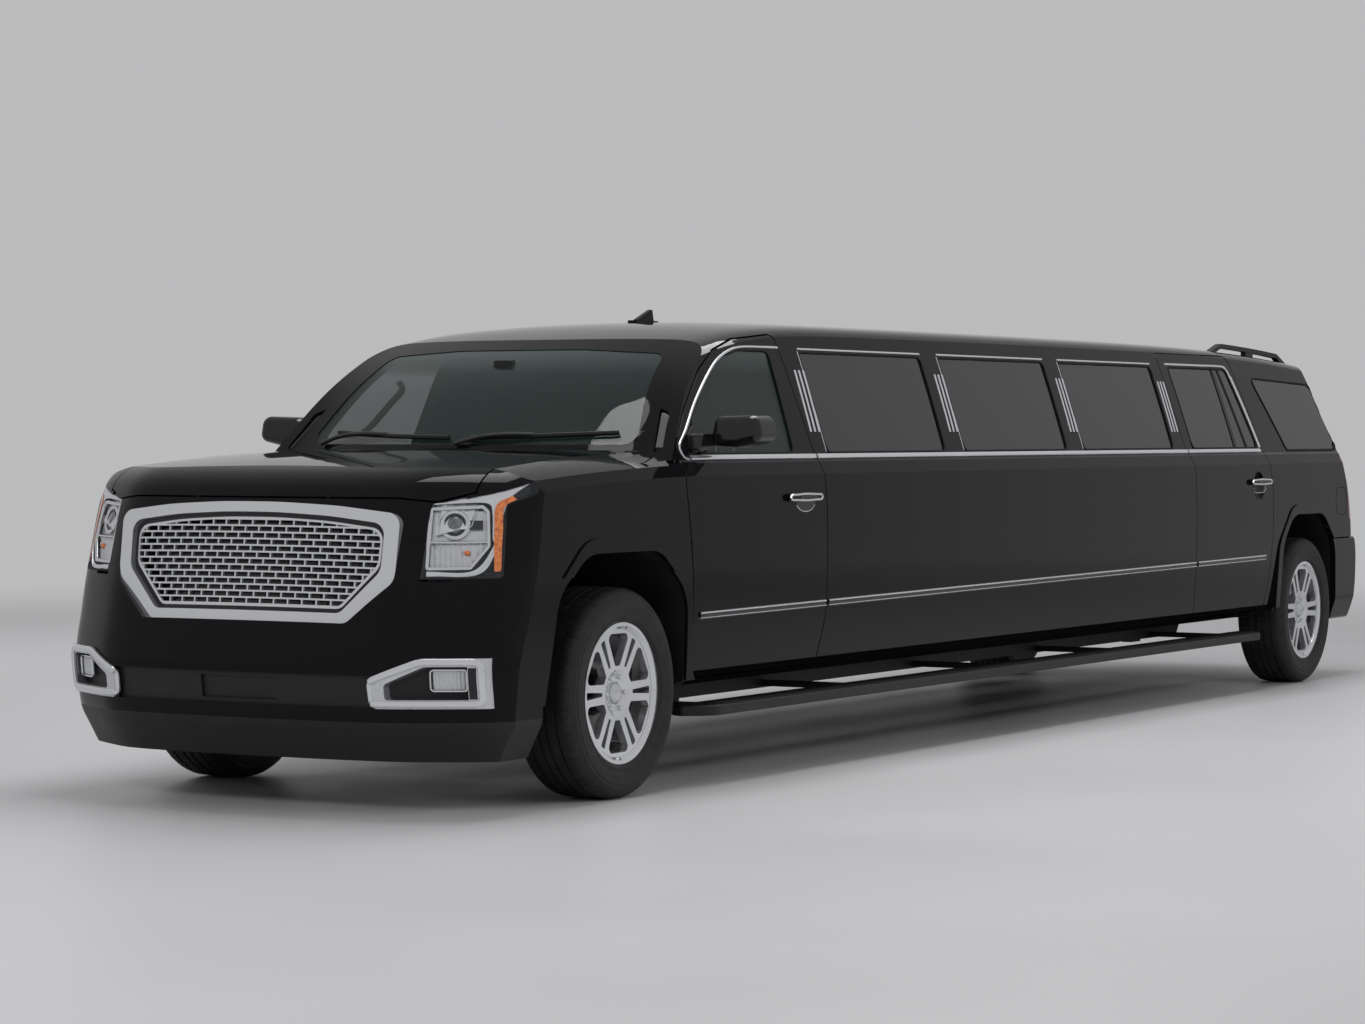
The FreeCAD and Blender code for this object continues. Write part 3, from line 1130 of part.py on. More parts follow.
def make_cabin_fittings():
    """Dashboard, steering wheel, seats, partition and the lounge bench."""
    floor_top = SILL_BOTTOM + WALL
    board = prism_y([
        (-485 - SEAT_CLEARANCE, 760), (-485 - SEAT_CLEARANCE, 1265), (-640, 1272, 40), (-880, 1215, 60),
        (-910, 1130, 40),
        (-860, 900, 40), (-700, 760, 30),
    ], -925, 925)
    between_doors = [
        (-916, 700), (916, 700), (916, 1165), (880, 1262), (880, 1300), (-880, 1300), (-880, 1262),
        (-916, 1165),
    ]
    board = board.common(cabin_solid(WALL + SEAT_CLEARANCE)).common(prism_x(between_doors, -1000, 0))
    column_tip = Vector(-1075, 400, 1085)
    column_root = Vector(-850, 400, 1000)
    column = rod(column_root, column_tip, 28)
    add("dashboard", biggest(board.fuse(column)))

    way = (column_tip - column_root).normalize()
    hub = column_tip + way * 6
    ring = Part.makeTorus(186, 15, hub, way)
    boss = Part.makeCylinder(55, 30, hub - way * 5.7, way)
    spokes = []
    across = way.cross(Vector(0, 1, 0)).normalize()
    for arm_way in (Vector(0, 1, 0), Vector(0, -1, 0), across * -1 if across.z > 0 else across):
        spokes.append(rod(hub + arm_way * 45, hub + arm_way * 180, 10))
    add("steering_wheel", biggest(boss.multiFuse([ring] + spokes)))

    seats = []
    for y in (-410, 410):
        cushion = prism_y([
            (-1220, floor_top + 210, 30), (-1210, floor_top + 350, 50), (-1700, floor_top + 330, 30),
            (-1730, floor_top + 210, 30),
        ], y - 260, y + 260)
        base = block((-1680, -1260), (y - 200, y + 200), (floor_top, floor_top + 220))
        back = prism_y([
            (-1640, floor_top + 300, 40), (-1790, floor_top + 880, 50), (-1900, floor_top + 860, 50),
            (-1760, floor_top + 260, 40),
        ], y - 250, y + 250)
        head = prism_y([
            (-1795, floor_top + 880, 30), (-1812, floor_top + 1050, 40), (-1900, floor_top + 1045, 40),
            (-1885, floor_top + 870, 30),
        ], y - 130, y + 130)
        post = block((-1850, -1838), (y - 50, y + 50), (floor_top + 800, floor_top + 920))
        seats.append(biggest(cushion.multiFuse([base, back, head, post])))
    add("front_seats", seats)

    wall = block((-2040, -2000), WIDE, (floor_top, 1800)).common(cabin_inner)
    pane = block((-2100, -1900), (-500, 500), (1180, 1620))
    add("partition", biggest(wall.cut(pane)))

    rear_end = REAR_FLOOR_START + WALL + 25
    right = -(HALF_WIDTH - WALL - 95)
    bench = prism_z([
        (-2300, right), (-2300, right + 560, 60), (rear_end + 600, right + 560, 80),
        (rear_end + 600, -right - 60, 60),
        (rear_end, -right - 60, 40), (rear_end, right),
    ], floor_top, floor_top + 400)
    back_side = block((rear_end, -2300), (right, right + 110), (floor_top + 395, 1190))
    back_rear = block((rear_end, rear_end + 150), (right, -right - 60), (floor_top + 395, 1240))
    bench = bench.multiFuse([back_side, back_rear]).removeSplitter()
    add("lounge_bench", biggest(bench))


floor, roof, side, quarter, lamp, tailgate, tailgate_glass, screen_glass, panes = make_fixed_body()
under_roof_form = under_roof(0.0)


def joined(shape):
    """Join a left half to its mirror image across the middle."""
    return biggest(shape.fuse(mirrored(shape)).removeSplitter())


def make_body_nodes():
    """Name the cabin's fixed pieces."""
    add("floor_pan", joined(biggest(floor)))
    ahead = block((ROOF_JOINT, 500), LEFT, TALL)
    add("roof", joined(biggest(roof.cut(ahead))))
    add("front_roof", joined(biggest(roof.common(ahead))))
    add("side_panels", [side, mirrored(side)])
    add("rear_quarters", [quarter, mirrored(quarter)])
    add("tail_lamps", [lamp, mirrored(lamp)])
    add("liftgate", joined(biggest(tailgate)))
    add("liftgate_glass", joined(tailgate_glass))
    add("windshield", joined(screen_glass))
    add("side_glass", panes + [mirrored(pane) for pane in panes])
    rear_tub = biggest(wheel_tub(REAR_ARCH, TUB_INNER))
    add("rear_tubs", [rear_tub, mirrored(rear_tub)])


make_body_nodes()
make_doors()
make_front_clip()
make_grille()
make_rear_bumper()
WHEEL_PLACES = (("fl", 0, 1), ("fr", 0, -1), ("rl", REAR_AXLE, 1), ("rr", REAR_AXLE, -1))
for wheel_name, wheel_x, wheel_side in WHEEL_PLACES:
    make_wheel(wheel_name, wheel_x, wheel_side)
make_running_gear()
make_outside_fittings()
make_cabin_fittings()

os.makedirs("parts", exist_ok=True)
for name, shape in nodes.items():
    shape.translate(Vector(ORIGIN_SHIFT, 0, 0))
    shape.exportStep("parts/" + name + ".step")
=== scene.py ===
"""Looks of the stretch limousine: paint, chrome, glass, lamps, tyres, seats and the studio."""
import math

import bmesh
import bpy
from mathutils import Matrix, Vector
from mathutils.bvhtree import BVHTree


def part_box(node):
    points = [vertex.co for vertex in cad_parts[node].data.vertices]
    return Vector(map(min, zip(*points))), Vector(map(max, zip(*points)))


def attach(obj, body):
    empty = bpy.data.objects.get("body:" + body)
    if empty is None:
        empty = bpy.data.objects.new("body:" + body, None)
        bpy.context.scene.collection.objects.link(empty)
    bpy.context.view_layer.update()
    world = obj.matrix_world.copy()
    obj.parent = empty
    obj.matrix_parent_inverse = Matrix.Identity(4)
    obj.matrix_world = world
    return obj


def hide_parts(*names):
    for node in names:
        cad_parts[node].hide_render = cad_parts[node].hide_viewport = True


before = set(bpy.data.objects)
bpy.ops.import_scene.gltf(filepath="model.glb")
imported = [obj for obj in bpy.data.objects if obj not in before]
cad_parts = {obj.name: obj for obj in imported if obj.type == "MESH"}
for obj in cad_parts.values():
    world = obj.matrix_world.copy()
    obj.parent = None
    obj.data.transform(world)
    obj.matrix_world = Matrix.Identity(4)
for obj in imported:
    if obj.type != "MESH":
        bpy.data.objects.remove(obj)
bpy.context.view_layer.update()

# Places in the car's frame, in metres: x forward, y to the left, z up
FRONT_AXLE = 3.6475
REAR_AXLE = -3.8025
WHEEL_Y = 0.8725
WHEEL_R = 0.405
BELT_Z = 1.301
SIDES = (1, -1)
SUFFIX = {1: "l", -1: "r"}
SIDE_NAME = {1: "left", -1: "right"}
FORWARD = Vector((1, 0, 0))
ACROSS = Vector((0, 1, 0))
UP = Vector((0, 0, 1))

# Where rays start: ahead of, behind and beside the car, and inside the cabin
AHEAD_X = 6.0
BEHIND_X = -7.0
BESIDE_Y = 1.6
INSIDE_Y = 0.30
INSIDE_Z = 1.45


def at(x):
    """Turn a distance from the front axle into the car's frame."""
    return x + FRONT_AXLE


def link(thing):
    """Put an object into the scene."""
    bpy.context.scene.collection.objects.link(thing)


# Materials

SHADE_BAND_LOW = 1.640
SHADE_BAND_HIGH = 1.735


class Nodes:
    """A node tree, with short ways to add nodes and join them."""

    def __init__(self, tree):
        self.tree = tree

    def feed(self, node, inputs):
        """Set a node's inputs, each to a value or to another node's output."""
        for key, value in inputs.items():
            if isinstance(value, bpy.types.NodeSocket):
                self.tree.links.new(value, node.inputs[key])
            else:
                node.inputs[key].default_value = value

    def add(self, kind, inputs=None, operation=None):
        """Add a node and return its outputs."""
        node = self.tree.nodes.new("ShaderNode" + kind)
        if operation:
            node.operation = operation
        self.feed(node, inputs or {})
        return node.outputs

    def place(self):
        """Coordinates in object space, in metres."""
        return self.add("TexCoord")["Object"]

    def noise(self, scale, detail=3.0):
        """A noise pattern."""
        return self.add("TexNoise", {"Vector": self.place(), "Scale": scale, "Detail": detail})["Fac"]

    def range(self, source, low, high, start=0.0, end=1.0):
        """A value that runs from low to high as the source runs from start to end."""
        ends = {"From Min": start, "From Max": end, "To Min": low, "To Max": high}
        return self.add("MapRange", {"Value": source, **ends})["Result"]

    def seen_rays(self):
        """One for rays from the camera, and for those that metal and glass send on."""
        rays = self.add("LightPath")
        seen = self.add("Math", {0: rays["Is Camera Ray"], 1: rays["Is Glossy Ray"]}, "MAXIMUM")
        return self.add("Math", {0: seen["Value"], 1: rays["Is Transmission Ray"]}, "MAXIMUM")["Value"]


class Finish(Nodes):
    """A material with a principled shader, and the patterns that drive it."""

    def __init__(self, name, colour, roughness, metallic=0.0, coat=0.0, specular=0.5):
        self.material = bpy.data.materials.new(name)
        self.material.use_nodes = True
        super().__init__(self.material.node_tree)
        self.shader = self.tree.nodes["Principled BSDF"]
        self.roughness = roughness
        self.feed(self.shader, {
            "Base Color": (*colour, 1.0), "Roughness": roughness, "Metallic": metallic, "Coat Weight": coat,
            "Coat Roughness": 0.02, "Specular IOR Level": specular,
        })

    def tint(self, source, low, high):
        """Mix two colours with a pattern."""
        ramp = self.tree.nodes.new("ShaderNodeValToRGB")
        for element, position, colour in zip(ramp.color_ramp.elements, (0.3, 0.7), (low, high)):
            element.position = position
            element.color = (*colour, 1)
        self.feed(ramp, {"Fac": source})
        self.feed(self.shader, {"Base Color": ramp.outputs["Color"]})

    def wear(self, source, low, high):
        """Let a pattern vary the roughness between two shares of its value."""
        values = (self.roughness * low, min(1.0, self.roughness * high))
        self.feed(self.shader, {"Roughness": self.range(source, *values)})

    def bump(self, source, strength, distance):
        """Raise the surface with a pattern."""
        bump = self.add("Bump", {"Height": source, "Strength": strength, "Distance": distance})
        self.feed(self.shader, {"Normal": bump["Normal"]})


def make_paint():
    """Deep black clear-coated paint with fine flake and a faint orange-peel."""
    paint = Finish("black_paint", (0.003, 0.003, 0.0035), 0.35, coat=1.0, specular=0.0)
    paint.feed(paint.shader, {"Coat IOR": 1.22})
    paint.tint(paint.noise(900.0, 1.0), (0.002, 0.002, 0.0025), (0.007, 0.007, 0.008))
    paint.bump(paint.noise(55.0, 2.0), 0.015, 0.0005)
    return paint.material


def make_chrome(name="bright_chrome", colour=(0.70, 0.71, 0.73), roughness=0.07, metallic=0.80):
    """Polished chrome with a slightly uneven gloss."""
    chrome = Finish(name, colour, roughness, metallic)
    chrome.wear(chrome.noise(14.0, 4.0), 0.7, 1.6)
    return chrome.material


def make_plastic(name, colour, roughness, grain=420.0, strength=0.25, specular=0.5):
    """Moulded plastic with a fine grain."""
    plastic = Finish(name, colour, roughness, specular=specular)
    plastic.bump(plastic.noise(grain, 2.0), strength, 0.0006)
    plastic.wear(plastic.noise(9.0), 0.85, 1.15)
    return plastic.material


def make_glass(name, colour, alpha, roughness=0.02):
    """Window glass, tinted and partly see-through."""
    glass = Finish(name, colour, roughness, specular=0.6)
    glass.feed(glass.shader, {"Alpha": alpha})
    glass.wear(glass.noise(3.0, 1.0), 0.5, 1.8)
    return glass.material


def make_screen_glass():
    """Green-tinted glass that darkens into a band along its top."""
    glass = Finish("clear_glass", (0.016, 0.030, 0.027), 0.02, specular=0.6)
    height = glass.add("SeparateXYZ", {"Vector": glass.place()})["Z"]
    glass.feed(glass.shader, {"Alpha": glass.range(height, 0.40, 0.90, SHADE_BAND_LOW, SHADE_BAND_HIGH)})
    glass.tint(glass.noise(2.0, 1.0), (0.014, 0.028, 0.025), (0.018, 0.034, 0.030))
    return glass.material


def make_rubber():
    """Tyre rubber, dark and matt with a fine moulded grain."""
    rubber = Finish("tyre_rubber", (0.014, 0.014, 0.015), 0.6, specular=0.35)
    rubber.tint(rubber.noise(18.0, 5.0), (0.009, 0.009, 0.010), (0.020, 0.0195, 0.019))
    rubber.bump(rubber.noise(500.0, 2.0), 0.3, 0.0006)
    return rubber.material


def make_leather():
    """Dark leather with creases and pores."""
    leather = Finish("seat_leather", (0.028, 0.026, 0.025), 0.45)
    pores = leather.add("TexVoronoi", {"Vector": leather.place(), "Scale": 260.0})
    leather.bump(pores["Distance"], 0.35, 0.001)
    leather.tint(leather.noise(6.0, 4.0), (0.040, 0.037, 0.035), (0.066, 0.061, 0.058))
    return leather.material


def make_metal(name, colour, roughness, grain=60.0):
    """Plain metal with a cast or sprayed surface."""
    metal = Finish(name, colour, roughness, 0.6)
    skin = metal.noise(grain, 5.0)
    metal.bump(skin, 0.3, 0.001)
    metal.wear(skin, 0.8, 1.2)
    return metal.material


def make_coloured_lens(name, colour, roughness, low, high, grain=None, specular=0.5):
    """Coated lens, mottled where it has a grain and else ribbed inside."""
    lens = Finish(name, colour, roughness, coat=1.0, specular=specular)
    if grain:
        pattern = lens.noise(grain, 2.0)
    else:
        ribs = lens.tree.nodes.new("ShaderNodeTexWave")
        ribs.bands_direction = "Z"
        lens.feed(ribs, {"Vector": lens.place(), "Scale": 22.0})
        pattern = ribs.outputs["Fac"]
    lens.tint(pattern, low, high)
    return lens.material


PAINT = make_paint()
CHROME = make_chrome()
SATIN_CHROME = make_chrome("satin_chrome", (0.62, 0.63, 0.65), 0.22)
REFLECTOR = make_chrome("lamp_reflector", (0.60, 0.61, 0.63), 0.16, 0.55)
BEZEL = make_chrome("lamp_bezel", (0.70, 0.71, 0.73), 0.12, 0.70)
MIRROR = make_chrome("mirror_silver", (0.72, 0.74, 0.76), 0.015, 1.0)
BLACK = make_plastic("black_plastic", (0.010, 0.010, 0.011), 0.50, specular=0.35)
GLOSS_BLACK = make_plastic("gloss_black", (0.005, 0.005, 0.006), 0.12, 200.0, 0.03)
SEAL = make_plastic("seal_rubber", (0.006, 0.006, 0.006), 0.65, 300.0, 0.2, 0.2)
DARK_GLASS = make_glass("dark_glass", (0.006, 0.007, 0.008), 0.94)
CLEAR_GLASS = make_screen_glass()
LENS = make_glass("lamp_lens", (0.30, 0.32, 0.34), 0.07)
BALL_GLASS = make_coloured_lens(
    "projector_glass", (0.05, 0.055, 0.06), 0.03, (0.03, 0.033, 0.037), (0.11, 0.12, 0.13), 40.0, 1.0,
)
AMBER = make_coloured_lens(
    "amber_lens", (0.62, 0.15, 0.01), 0.12, (0.40, 0.075, 0.004), (0.78, 0.22, 0.02), 90.0,
)
RED_LENS = make_coloured_lens(
    "red_lens", (0.33, 0.006, 0.008), 0.08, (0.16, 0.003, 0.004), (0.38, 0.010, 0.012),
)
RUBBER = make_rubber()
STEEL = make_metal("frame_steel", (0.020, 0.020, 0.022), 0.55)
IRON = make_metal("engine_iron", (0.11, 0.11, 0.115), 0.6, 25.0)
DISC = make_metal("brake_steel", (0.30, 0.29, 0.28), 0.32, 200.0)
FLOOR_STEEL = make_metal("floor_steel", (0.020, 0.020, 0.022), 0.7, 30.0)
CABIN = make_plastic("cabin_plastic", (0.020, 0.020, 0.022), 0.6, 350.0, 0.4)
CARPET = make_plastic("cabin_carpet", (0.016, 0.016, 0.017), 0.95, 900.0, 1.0, 0.1)
LINING = make_plastic("roof_lining", (0.055, 0.054, 0.052), 0.95, 700.0, 0.8, 0.1)
LEATHER = make_leather()
PANEL = make_plastic("partition_panel", (0.024, 0.023, 0.025), 0.5, 150.0, 0.3)

NODE_MATERIALS = {
    PAINT: [
        "door_fl", "door_fr", "door_rl", "door_rr", "hood", "front_fenders", "front_bumper", "rear_bumper",
        "rear_quarters", "roof", "front_roof", "side_panels", "liftgate", "antenna",
    ],
    GLOSS_BLACK: ["mirror_l", "mirror_r", "grille_backing"],
    CHROME: ["grille_surround", "grille_mesh", "rim_fl", "rim_fr", "rim_rl", "rim_rr"],
    SATIN_CHROME: ["fog_bezels"],
    BLACK: ["cowl", "front_valance", "running_boards", "wheel_liners", "rear_tubs", "roof_rails"],
    DARK_GLASS: ["side_glass", "glass_rl", "glass_rr", "liftgate_glass"],
    CLEAR_GLASS: ["windshield", "glass_fl", "glass_fr"],
    LENS: ["headlamps", "fog_lamps"],
    RED_LENS: ["tail_lamps"],
    RUBBER: ["tyre_fl", "tyre_fr", "tyre_rl", "tyre_rr"],
    STEEL: ["chassis_frame", "rear_frame", "front_arms", "rear_axle", "driveline", "knuckle_l", "knuckle_r"],
    IRON: ["engine_block"],
    FLOOR_STEEL: ["floor_pan"],
    CABIN: ["dashboard"],
    LEATHER: ["front_seats", "lounge_bench", "steering_wheel"],
    PANEL: ["partition"],
}


def dress_nodes():
    """Give every node of the frame its own finish."""
    for material, names in NODE_MATERIALS.items():
        for name in names:
            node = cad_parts[name]
            node.data.materials.clear()
            node.data.materials.append(material)


# Paths and profiles


def flat(points):
    """Pairs (a, b) as vectors (a, 0, b)."""
    return [Vector((a, 0, b)) for a, b in points]


def spread(start, end, steps):
    """Evenly spaced values from start to end."""
    return [start + (end - start) * i / steps for i in range(steps + 1)]


def even_path(points, count):
    """Evenly spaced points along straight runs."""
    points = [Vector(p) for p in points]
    marks = [0.0]
    for a, b in zip(points, points[1:]):
        marks.append(marks[-1] + (b - a).length)
    result = []
    run = 0
    for i in range(count + 1):
        goal = marks[-1] * i / count
        while run < len(points) - 2 and marks[run + 1] < goal:
            run += 1
        span = marks[run + 1] - marks[run]
        result.append(points[run].lerp(points[run + 1], (goal - marks[run]) / span if span else 0.0))
    return result


def curve_points(points, steps=16):
    """Points on a smooth curve through the given ones, the same number between each two."""
    points = [Vector(p) for p in points]
    ends = [points[0] * 2 - points[1]] + points + [points[-1] * 2 - points[-2]]
    fine = []
    for i in range(len(points) - 1):
        a, b, c, d = ends[i:i + 4]
        for k in range(steps):
            t = k / steps
            square = (2 * a - 5 * b + 4 * c - d) * t * t
            cube = (3 * b - a - 3 * c + d) * t ** 3
            fine.append(0.5 * (2 * b + (c - a) * t + square + cube))
    fine.append(points[-1])
    return fine


def smooth_path(points, count):
    """Evenly spaced points on a smooth curve through the given ones."""
    return even_path(curve_points(points), count)


def rounded_loop(points, count):
    """Even points round a closed outline of (a, b, radius) corners, as x and z."""
    corners = flat(point[:2] for point in points)
    fine = []
    for i, here in enumerate(corners):
        back = corners[i - 1] - here
        ahead = corners[(i + 1) % len(corners)] - here
        reach = points[i][2] / math.tan(back.angle(ahead) / 2)
        a = here + back.normalized() * reach
        b = here + ahead.normalized() * reach
        for t in spread(0, 1, 8):
            fine.append(a * (1 - t) ** 2 + here * 2 * t * (1 - t) + b * t * t)
    return even_path(fine + fine[:1], count)[:-1]


def bead(width, height, steps=4):
    """Rounded strip profile: width across, height proud, with its foot sunk in."""
    half = width / 2
    points = [(-0.003, -half), (height * 0.4, -half)]
    for i in range(1, steps):
        angle = math.pi * i / steps
        points.append((height * (0.4 + 0.6 * math.sin(angle)), -half * math.cos(angle)))
    return points + [(height * 0.4, half), (-0.003, half)]


def oval(out, across, count, shift=0.0):
    """Oval profile of a rod, moved outward by shift."""
    angles = [2 * math.pi * k / count for k in range(count)]
    return [(shift + out * math.cos(a), across * math.sin(a)) for a in angles]


# Mesh helpers


def object_from(name, shape):
    """Turn a bmesh into an object in the scene."""
    mesh = bpy.data.meshes.new(name)
    shape.to_mesh(mesh)
    shape.free()
    thing = bpy.data.objects.new(name, mesh)
    link(thing)
    return thing


def mesh_object(name, build, material, body="body", crease=38.0):
    """Make a piece from a function that fills a bmesh, and let it ride on a body."""
    shape = bmesh.new()
    build(shape)
    bmesh.ops.recalc_face_normals(shape, faces=shape.faces)
    for face in shape.faces:
        face.smooth = True
    for edge in shape.edges:
        if len(edge.link_faces) == 2 and edge.calc_face_angle(0.0) > math.radians(crease):
            edge.smooth = False
    piece = object_from(name, shape)
    piece.data.materials.append(material)
    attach(piece, body)
    return piece


def join_rings(shape, rings, closed):
    """Faces between each ring of points and the next; the last meets the first where closed."""
    count = len(rings[0])
    for here, there in zip(rings, rings[1:] + rings[:1] if closed else rings[1:]):
        for j in range(count):
            k = (j + 1) % count
            shape.faces.new((here[j], here[k], there[k], there[j]))


def sweep(shape, path, outward, profile, closed=False):
    """Carry a profile of (out, across) points along a path; outward is one direction, or one per point."""
    rings = []
    count = len(path)
    for i, point in enumerate(path):
        ahead = path[(i + 1) % count] if closed or i < count - 1 else path[i]
        back = path[i - 1] if closed or i > 0 else path[i]
        along = (ahead - back).normalized()
        out = outward if isinstance(outward, Vector) else outward[i]
        out = (out - along * out.dot(along)).normalized()
        across = along.cross(out).normalized()
        rings.append([shape.verts.new(point + out * a + across * b) for a, b in profile])
    join_rings(shape, rings, closed)
    if not closed:
        shape.faces.new(rings[0])
        shape.faces.new(rings[-1][::-1])


def add_strip(name, path, outward, profile, material, body="body", closed=False):
    """A piece made by carrying a profile along a path."""
    return mesh_object(name, lambda s: sweep(s, path, outward, profile, closed), material, body)


def shifted(grid, move):
    """A point grid moved as a whole."""
    return [[point + move for point in row] for row in grid]


def add_slab(name, front, back, material, body="body"):
    """A closed slab between two point grids of the same size."""
    rows = len(front)
    columns = len(front[0])
    border = [(0, j) for j in range(columns)] + [(i, columns - 1) for i in range(1, rows)]
    border += [(rows - 1, j) for j in range(columns - 2, -1, -1)] + [(i, 0) for i in range(rows - 2, 0, -1)]

    def build(shape):
        a = [[shape.verts.new(p) for p in row] for row in front]
        b = [[shape.verts.new(p) for p in row] for row in back]
        for i in range(rows - 1):
            for j in range(columns - 1):
                shape.faces.new((a[i][j], a[i][j + 1], a[i + 1][j + 1], a[i + 1][j]))
                shape.faces.new((b[i][j], b[i + 1][j], b[i + 1][j + 1], b[i][j + 1]))
        for (i, j), (k, m) in zip(border, border[1:] + border[:1]):
            shape.faces.new((a[i][j], b[i][j], b[k][m], a[k][m]))

    return mesh_object(name, build, material, body)


def turned_ring(shape, centre, axis, radii, rise):
    """Points round an axis, each at its own radius."""
    axis = axis.normalized()
    side = axis.orthogonal().normalized()
    up = axis.cross(side)
    ring = []
    for i, radius in enumerate(radii):
        angle = 2 * math.pi * i / len(radii)
        spoke = side * math.cos(angle) + up * math.sin(angle)
        ring.append(shape.verts.new(centre + spoke * radius + axis * rise))
    return ring


def lathe(shape, profile, centre, axis, segments, wave=None):
    """Turn a closed profile of (radius, along) points; wave may change a radius by segment and point."""
    rings = []
    for j, (radius, along) in enumerate(profile):
        radii = [radius + wave(i, j) if wave else radius for i in range(segments)]
        rings.append(turned_ring(shape, centre, axis, radii, along))
    join_rings(shape, rings, True)


def add_turned(name, profile, centre, axis, segments, material, body="body", wave=None):
    """A piece turned about an axis."""
    return mesh_object(name, lambda s: lathe(s, profile, centre, axis, segments, wave), material, body)


def add_dome(name, centre, axis, radius, height, material):
    """A lens or cap: a shallow dome on a flat base sunk below its rim."""
    segments = 32
    angles = [math.pi / 2 * k / 6 for k in range(6)]
    levels = [(radius, -0.004)] + [(radius * math.cos(a), height * math.sin(a)) for a in angles]

    def build(shape):
        rings = [turned_ring(shape, centre, axis, [reach] * segments, rise) for reach, rise in levels]
        join_rings(shape, rings, False)
        tip = shape.verts.new(centre + axis.normalized() * height)
        for i in range(segments):
            shape.faces.new((rings[-1][i], rings[-1][(i + 1) % segments], tip))
        shape.faces.new(rings[0][::-1])

    return mesh_object(name, build, material)


# Surface finding


def tree_of(names):
    """Search tree over several nodes of the frame."""
    vertices = []
    faces = []
    for name in names:
        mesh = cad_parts[name].data
        start = len(vertices)
        vertices.extend(v.co.copy() for v in mesh.vertices)
        faces.extend([start + i for i in p.vertices] for p in mesh.polygons)
    return BVHTree.FromPolygons(vertices, faces)


SIDE_TREE = tree_of([
    "door_fl", "door_fr", "door_rl", "door_rr", "side_panels", "rear_quarters", "front_fenders", "roof",
    "front_roof", "glass_fl", "glass_fr", "glass_rl", "glass_rr", "side_glass",
])
LAMP_TREE = tree_of(["headlamps"])
FOG_TREE = tree_of(["fog_lamps"])
BEZEL_TREE = tree_of(["fog_bezels", "front_bumper"])
SCREEN_TREE = tree_of(["windshield", "cowl", "front_roof"])
TAIL_TREE = tree_of(["liftgate", "liftgate_glass", "rear_bumper", "tail_lamps", "rear_quarters"])
ROOF_TREE = tree_of(["roof", "front_roof"])
BOARD_TREE = tree_of(["running_boards"])


def cast(tree, origin, way):
    """Point and normal where a ray first meets a tree."""
    point, normal, _, _ = tree.ray_cast(Vector(origin), Vector(way))
    return point, normal


def side_point(x, z, side, proud=0.0, along=0.014, up=0.0):
    """Point on the body's side, taken from its outermost neighbour so that shut lines are bridged."""
    reach = 0.0
    for shift, rise in ((0, 0), (along, 0), (-along, 0), (0, up), (0, -up)):
        point, _ = cast(SIDE_TREE, (x + shift, side * BESIDE_Y, z + rise), (0, -side, 0))
        if point:
            reach = max(reach, abs(point.y))
    return Vector((x, side * (reach + proud), z))


def side_strip(name, body, points, width, height, material, side, count=24):
    """A trim strip laid on the body's side through (x, z) points."""
    path = []
    outward = []
    for p in smooth_path(flat(points), count):
        path.append(side_point(p.x, p.z, side))
        rise = side_point(p.x, p.z + 0.02, side) - side_point(p.x, p.z - 0.02, side)
        out = rise.cross(Vector((side, 0, 0)))
        outward.append(out if out.y * side > 0 else -out)
    return add_strip(name, path, outward, bead(width, height), material, body)


def side_ring(name, body, outline, side, width=0.010, height=0.0025, count=140):
    """A closed rubber bead laid on the body's side round an outline."""
    path = [side_point(p.x, p.z, side, 0.0, 0.007, 0.007) for p in rounded_loop(outline, count)]
    return add_strip(name, path, Vector((0, side, 0.12)), bead(width, height), SEAL, body, True)


def door_body(which, side):
    """Name of the body that a door is; what is on no door rides on the shell."""
    return which + "_door_" + SIDE_NAME[side] if which else "body"


# Side trim

FRONT_CUT = at(-1.6195)
REAR_CUT = at(-5.760)
WINDOW_FRONTS = [at(-1.7345 - 1.35 * i) for i in range(3)]
WINDOW_LENGTH = 1.15
BELT_RUNS = (
    ("front", at(-0.56), FRONT_CUT + 0.008), (None, FRONT_CUT - 0.008, REAR_CUT + 0.012),
    ("rear", REAR_CUT - 0.002, at(-6.80)),
)
MOULDING_RUNS = (
    ("front", at(-0.565), at(-1.628)), (None, at(-1.655), at(-5.772)), ("rear", at(-5.800), at(-6.782)),
)
MOULDING_FRONT = at(-0.56)
MOULDING_FRONT_Z = 0.677
MOULDING_SLOPE = 0.043 / 6.222
MOULDING_EDGES = (("top", 0.010, 0.008), ("low", -0.010, 0.006))
FRONT_GLASS_LINE = [
    (at(-0.545), 1.293), (at(-0.515), 1.300), (at(-0.499), 1.322), (at(-0.503), 1.352), (3.062, 1.411),
    (2.910, 1.529), (2.713, 1.652), (2.580, 1.713), (2.420, 1.751), (2.200, 1.757), (2.068, 1.757),
]
REAR_GLASS_LINE = [
    (at(-5.835), 1.757), (at(-6.3), 1.757), (-2.980, 1.757), (-3.045, 1.742), (-3.072, 1.690),
    (-3.118, 1.500), (-3.158, 1.320),
]
REAR_GLASS_EDGE = [(-3.069, 1.700), (-3.118, 1.500), (-3.158, 1.318)]
# Lines by a long window, as (x past the window's front corner, z)
WINDOW_TOP = ((-0.020, 1.755), (-0.6, 1.755), (-WINDOW_LENGTH - 0.044, 1.755))
WINDOW_EDGE = ((0.008, 1.320), (-0.004, 1.53), (-0.016, 1.745))
PILLAR_BARS = (
    ((0.063, 1.663), (0.0775, 1.53), (0.092, 1.402)),
    ((0.026, 1.663), (0.0400, 1.53), (0.054, 1.402)),
    ((-0.012, 1.663), (0.0020, 1.53), (0.016, 1.402)),
)


